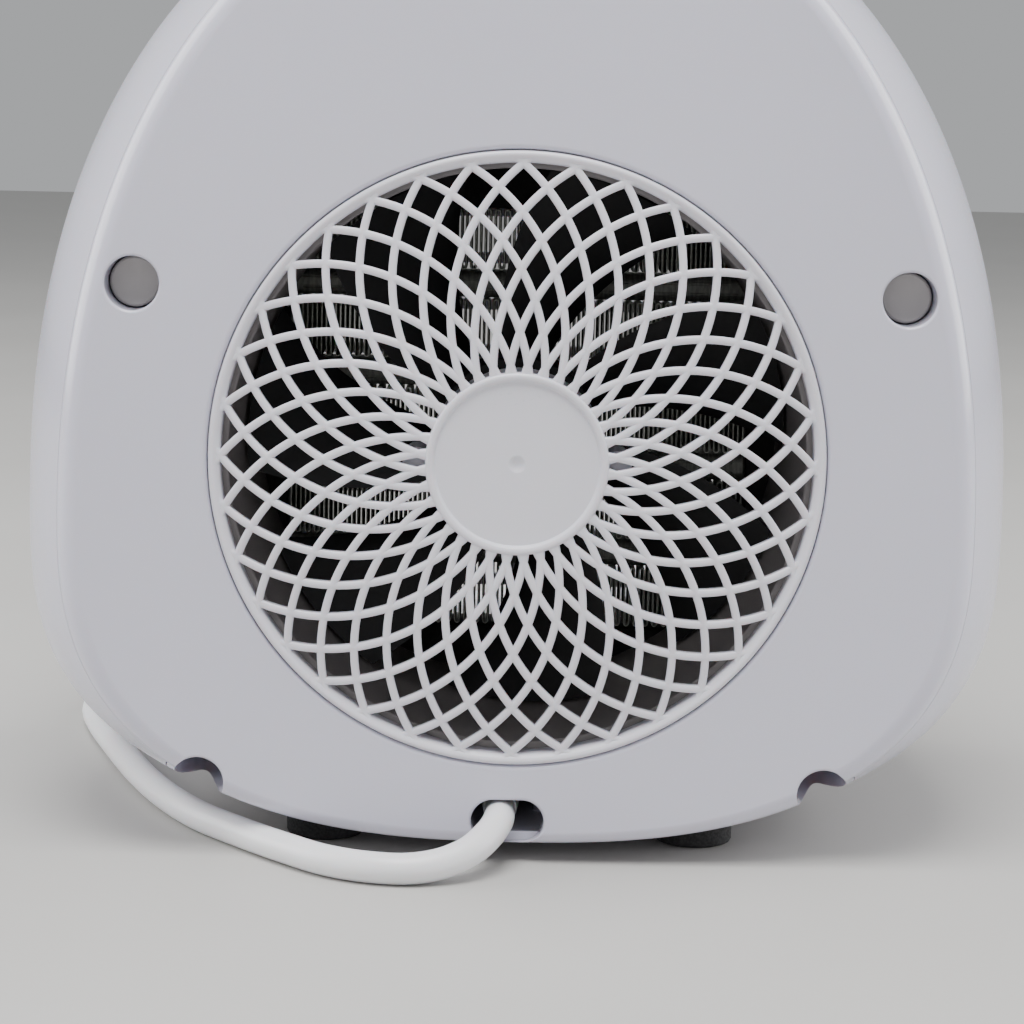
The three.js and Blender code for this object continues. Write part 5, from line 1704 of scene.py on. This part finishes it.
@dataclass
class Controls:
    """The sunken control panel on top, with two knobs and a lamp."""

    rim: float = 0.0018
    plate: float = 0.0025
    hole_radius: float = 0.0033
    flutes: int = 28
    flute: float = 0.00045
    mark_radius: float = 0.0165
    mark_length: float = 0.0028
    dials: tuple[Dial, ...] = (
        Dial("mode", "mode_control", 135.0, 4),
        Dial("thermostat", "thermostat_control", 270.0, 10),
    )

    def build(self) -> None:
        """Makes the panel, the knobs and the lamp."""
        self._panel()
        for dial in self.dials:
            self._knob(dial)
            self._marks(dial)
            dress_node(f"{dial.word}_shaft", STEEL, 0.0002)
        self._lamp()
        dress_node("mode_switch", KNOB_GREY, 0.0005)
        dress_node("thermostat", BRASS, 0.0004)

    def _panel(self) -> None:
        """A stadium tray that follows the body's top, with a rounded rim."""
        low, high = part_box("control_panel")
        middle = (low + high) / 2
        width, depth = high.x - low.x, high.y - low.y
        place = Matrix.Translation((middle.x, middle.y, 0.0))
        outline = rounded_rectangle(width, depth, depth / 2 - 1e-5, 24)
        panel = slab("control_tray", [(outline, low.z), (outline, high.z + 0.01)], place)
        boolean(panel, BodyForm().solid("outside", 0.0), "INTERSECT")
        floor = low.z + self.plate
        inner_width, inner_depth = width - 2 * self.rim, depth - 2 * self.rim
        narrow = rounded_rectangle(inner_width - 0.001, inner_depth - 0.001, inner_depth / 2 - 0.00051, 24)
        wide = rounded_rectangle(inner_width, inner_depth, inner_depth / 2 - 1e-5, 24)
        levels = [(narrow, floor), (wide, floor + 0.0006), (wide, high.z + 0.02)]
        boolean(panel, slab("tray", levels, place), "DIFFERENCE")
        for node in ("mode_shaft", "thermostat_shaft", "indicator_lens"):
            at, radius = middle_of(node), self.hole_radius
            hole = turned("hole", [(0.0, low.z - 0.001), (radius, low.z - 0.001), (radius, floor + 0.001),
                                   (0.0, floor + 0.001)], Matrix.Translation((at.x, at.y, 0.0)), 40)
            boolean(panel, hole, "DIFFERENCE")
        dress(panel, PLAIN_WHITE, HOUSING, "control_panel")

    def _knob(self, dial: Dial) -> None:
        """A fluted knob with a raised grip bar and a pale line on it.

        Args:
            dial: which control.
        """
        node = f"{dial.word}_knob"
        low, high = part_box(node)
        middle = middle_of(f"{dial.word}_shaft")
        skirt, top = (high.x - low.x) / 2, high.z - 0.0006
        radius = skirt - 0.001
        count = self.flutes * 8

        def ring(reach: float, z: float, cut: float) -> list[Point]:
            """A fluted circle.

            Args:
                reach: the radius.
                z: the height.
                cut: how deep the flutes are.

            Returns:
                The ring's points.
            """
            made = []
            for k in range(count):
                turn = 2 * math.pi * k / count
                r = reach - cut * (0.5 + 0.5 * math.cos(self.flutes * turn)) ** 2
                made.append((middle.x + r * math.cos(turn), middle.y + r * math.sin(turn), z))
            return made

        rings = [ring(skirt - 0.0006, low.z, 0.0), ring(skirt, low.z + 0.0006, 0.0),
                 ring(skirt, low.z + 0.0016, 0.0), ring(skirt - 0.0004, low.z + 0.002, 0.0),
                 ring(radius + 0.0001, low.z + 0.0026, 0.0), ring(radius, low.z + 0.0032, self.flute)]
        rise = top - 0.0014 - low.z - 0.0032
        rings += [ring(radius - 0.0006 * share, low.z + 0.0032 + rise * share, self.flute)
                  for share in (0.5, 1.0)]
        rings += [ring(radius - 0.0008, top - 0.0008, self.flute * 0.6),
                  ring(radius - 0.0014, top - 0.0003, 0.0),
                  ring(radius - 0.0022, top, 0.0), ring(radius - 0.0038, top - 0.0001, 0.0),
                  ring(radius - 0.005, top - 0.0004, 0.0), ring(0.001, top - 0.0006, 0.0)]
        knob = loft(f"{dial.word}_dial_knob", rings)
        grip = eased_box("grip", (0.0052, 2 * radius - 0.005, 0.003),
                         Matrix.Translation((middle.x, middle.y, top - 0.0009)), 0.0025, 0.0009, 5)
        boolean(knob, grip, "UNION")
        dress(knob, KNOB_GREY, dial.body, node, degrees=28)
        tip = Matrix.Translation((middle.x, middle.y + radius - 0.0065, top + 0.0004))
        line = eased_box(f"{dial.word}_pointer_line", (0.0012, 0.0065, 0.0003), tip, 0.0004, 0.0001, 2)
        dress(line, PLAIN_WHITE, dial.body)

    def _marks(self, dial: Dial) -> None:
        """Plain raised marks round a knob, over the turn that it makes.

        Args:
            dial: which control.
        """
        middle = middle_of(f"{dial.word}_shaft")
        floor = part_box("control_panel")[0].z + self.plate
        bars = []
        for k in range(dial.marks):
            turn = math.pi / 2 - math.radians(dial.turn * k / (dial.marks - 1))
            grow = k / (dial.marks - 1)
            reach = self.mark_radius + self.mark_length / 2
            place = (
                Matrix.Translation((middle.x + reach * math.cos(turn), middle.y + reach * math.sin(turn),
                                    floor + 0.00005))
                @ Matrix.Rotation(turn, 4, "Z")
            )
            size = (self.mark_length, 0.0005 + 0.0007 * grow, 0.0003)
            bars.append(eased_box("mark", size, place, 0.0002, 0.0001, 2))
        dress(joined(f"{dial.word}_dial_marks", bars), KNOB_GREY, HOUSING)

    def _lamp(self) -> None:
        """The domed indicator lens with a ringed base."""
        low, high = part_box("indicator_lens")
        middle, radius = (low + high) / 2, (high.x - low.x) / 2
        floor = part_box("control_panel")[0].z + self.plate
        dome = [(radius * math.cos(a), floor + 0.0004 + (high.z - floor - 0.0004) * math.sin(a))
                for a in (i / 10 * math.pi / 2 for i in range(11))]
        dome[-1] = (0.0, high.z)
        lamp = turned("lamp_lens", [(0.0, low.z), (radius, low.z), (radius, floor + 0.0002),
                                    (radius - 0.0002, floor + 0.0004), *dome[1:]],
                      Matrix.Translation((middle.x, middle.y, 0.0)), 64)
        dress(lamp, RED_LENS, HOUSING, "indicator_lens")


# ---- Wiring, tip switch and fasteners ---------------------------------------------------------


@dataclass
class Wiring:
    """The pieces in the base: terminal block, cord clamp and tip switch."""

    def build(self) -> None:
        """Finishes the base pieces."""
        dress_node("terminal_block", PLAIN_WHITE, 0.0004)
        dress_node("cord_clamp", KNOB_GREY, 0.0004)
        dress_node("tip_switch", KNOB_GREY, 0.0004)
        self._plunger()

    def _plunger(self) -> None:
        """The sprung plunger with a rounded foot and a spring groove."""
        low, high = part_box("tip_plunger")
        middle, r = (low + high) / 2, (high.x - low.x) / 2
        foot = [(r - 0.0008 + 0.0008 * math.sin(a), low.z + 0.0008 * (1 - math.cos(a)))
                for a in (i / 6 * math.pi / 2 for i in range(7))]
        plunger = turned("switch_plunger", [
            (0.0, low.z), *foot, (r, low.z + 0.008), (r - 0.0006, low.z + 0.0084),
            (r - 0.0006, low.z + 0.0102),
            (r, low.z + 0.0106), (r, high.z - 0.0004), (r - 0.0004, high.z), (0.0, high.z),
        ], Matrix.Translation((middle.x, middle.y, 0.0)), 48)
        dress(plunger, KNOB_GREY, "plunger", "tip_plunger")


class Heading(Enum):
    """The way a screw's head points, as turns of +Z about X."""

    REAR = -0.5
    FRONT = 0.5
    UP = 0.0


@dataclass
class Fasteners:
    """Every screw: a pan head with a cross recess and a threaded shank."""

    groups: tuple[tuple[str, int, Heading], ...] = (
        ("housing_screw", 4, Heading.REAR),
        ("element_screw", 4, Heading.REAR),
        ("motor_screw", 2, Heading.FRONT),
        ("clamp_screw", 2, Heading.UP),
    )
    head_share: float = 0.65
    thread_pitch: float = 0.0009

    def build(self) -> None:
        """Makes each screw at its CAD node."""
        for prefix, count, heading in self.groups:
            for number in range(1, count + 1):
                self._screw(f"{prefix}_{number}", heading)

    def _screw(self, node: str, heading: Heading) -> None:
        """One screw in place of its node.

        Args:
            node: the CAD node that it stands for.
            heading: the way its head points.
        """
        low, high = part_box(node)
        size = high - low
        radius = size.x / 2
        long = size.z if heading is Heading.UP else size.y
        head, shank = self.head_share * radius, radius * 0.44
        turn = Matrix.Rotation(heading.value * math.pi, 4, "X")
        place = Matrix.Translation((low + high) / 2) @ turn @ Matrix.Translation((0.0, 0.0, long / 2))
        dome = [(radius * math.sin(a), -head * 0.45 * (1 - math.cos(a)))
                for a in (i / 8 * 1.2 for i in range(9))]
        profile: list[Flat] = [(0.0, 0.0), *dome[1:], (radius, -head * 0.6), (radius, -head + 0.0001),
                               (radius - 0.0001, -head), (shank, -head)]
        turns = int((long - head - 0.0015) / self.thread_pitch)
        for k in range(turns):
            z = -head - 0.0004 - k * self.thread_pitch
            profile += [(shank * 0.82, z), (shank, z - self.thread_pitch * 0.5)]
        profile += [(shank * 0.7, -long + 0.0006), (0.0, -long)]
        screw = turned(f"pan_{node}", profile, place, 40)
        for k in range(2):
            turned_place = place @ Matrix.Rotation(k * math.pi / 2, 4, "Z")
            edge = radius * 0.05
            cross = eased_box("cross", (radius * 1.15, radius * 0.24, head), turned_place, edge, edge, 2)
            boolean(screw, cross, "DIFFERENCE")
        dress(screw, STEEL, HOUSING, node, degrees=40)


# ---- Assembly -------------------------------------------------------------------------------


def report_bare_nodes() -> None:
    """Reports any CAD node that still shows without a finish of its own."""
    known = {finish.name for finish in FINISHES}
    for name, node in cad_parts.items():
        if node.hide_render:
            continue
        if not node.data.materials or node.data.materials[0].name not in known:
            log.warning("%s has no finish", name)


def main() -> None:
    """Builds the camera and cords first, then every sub-assembly."""
    for part in (
        Studio(), MainsLead(), Housing(), RearGrille(), FanUnit(), HeatingElement(), Controls(), Wiring(),
        Fasteners(),
    ):
        part.build()
        log.info("%s built", type(part).__name__)
    report_bare_nodes()


if __name__ == "__main__":
    main()
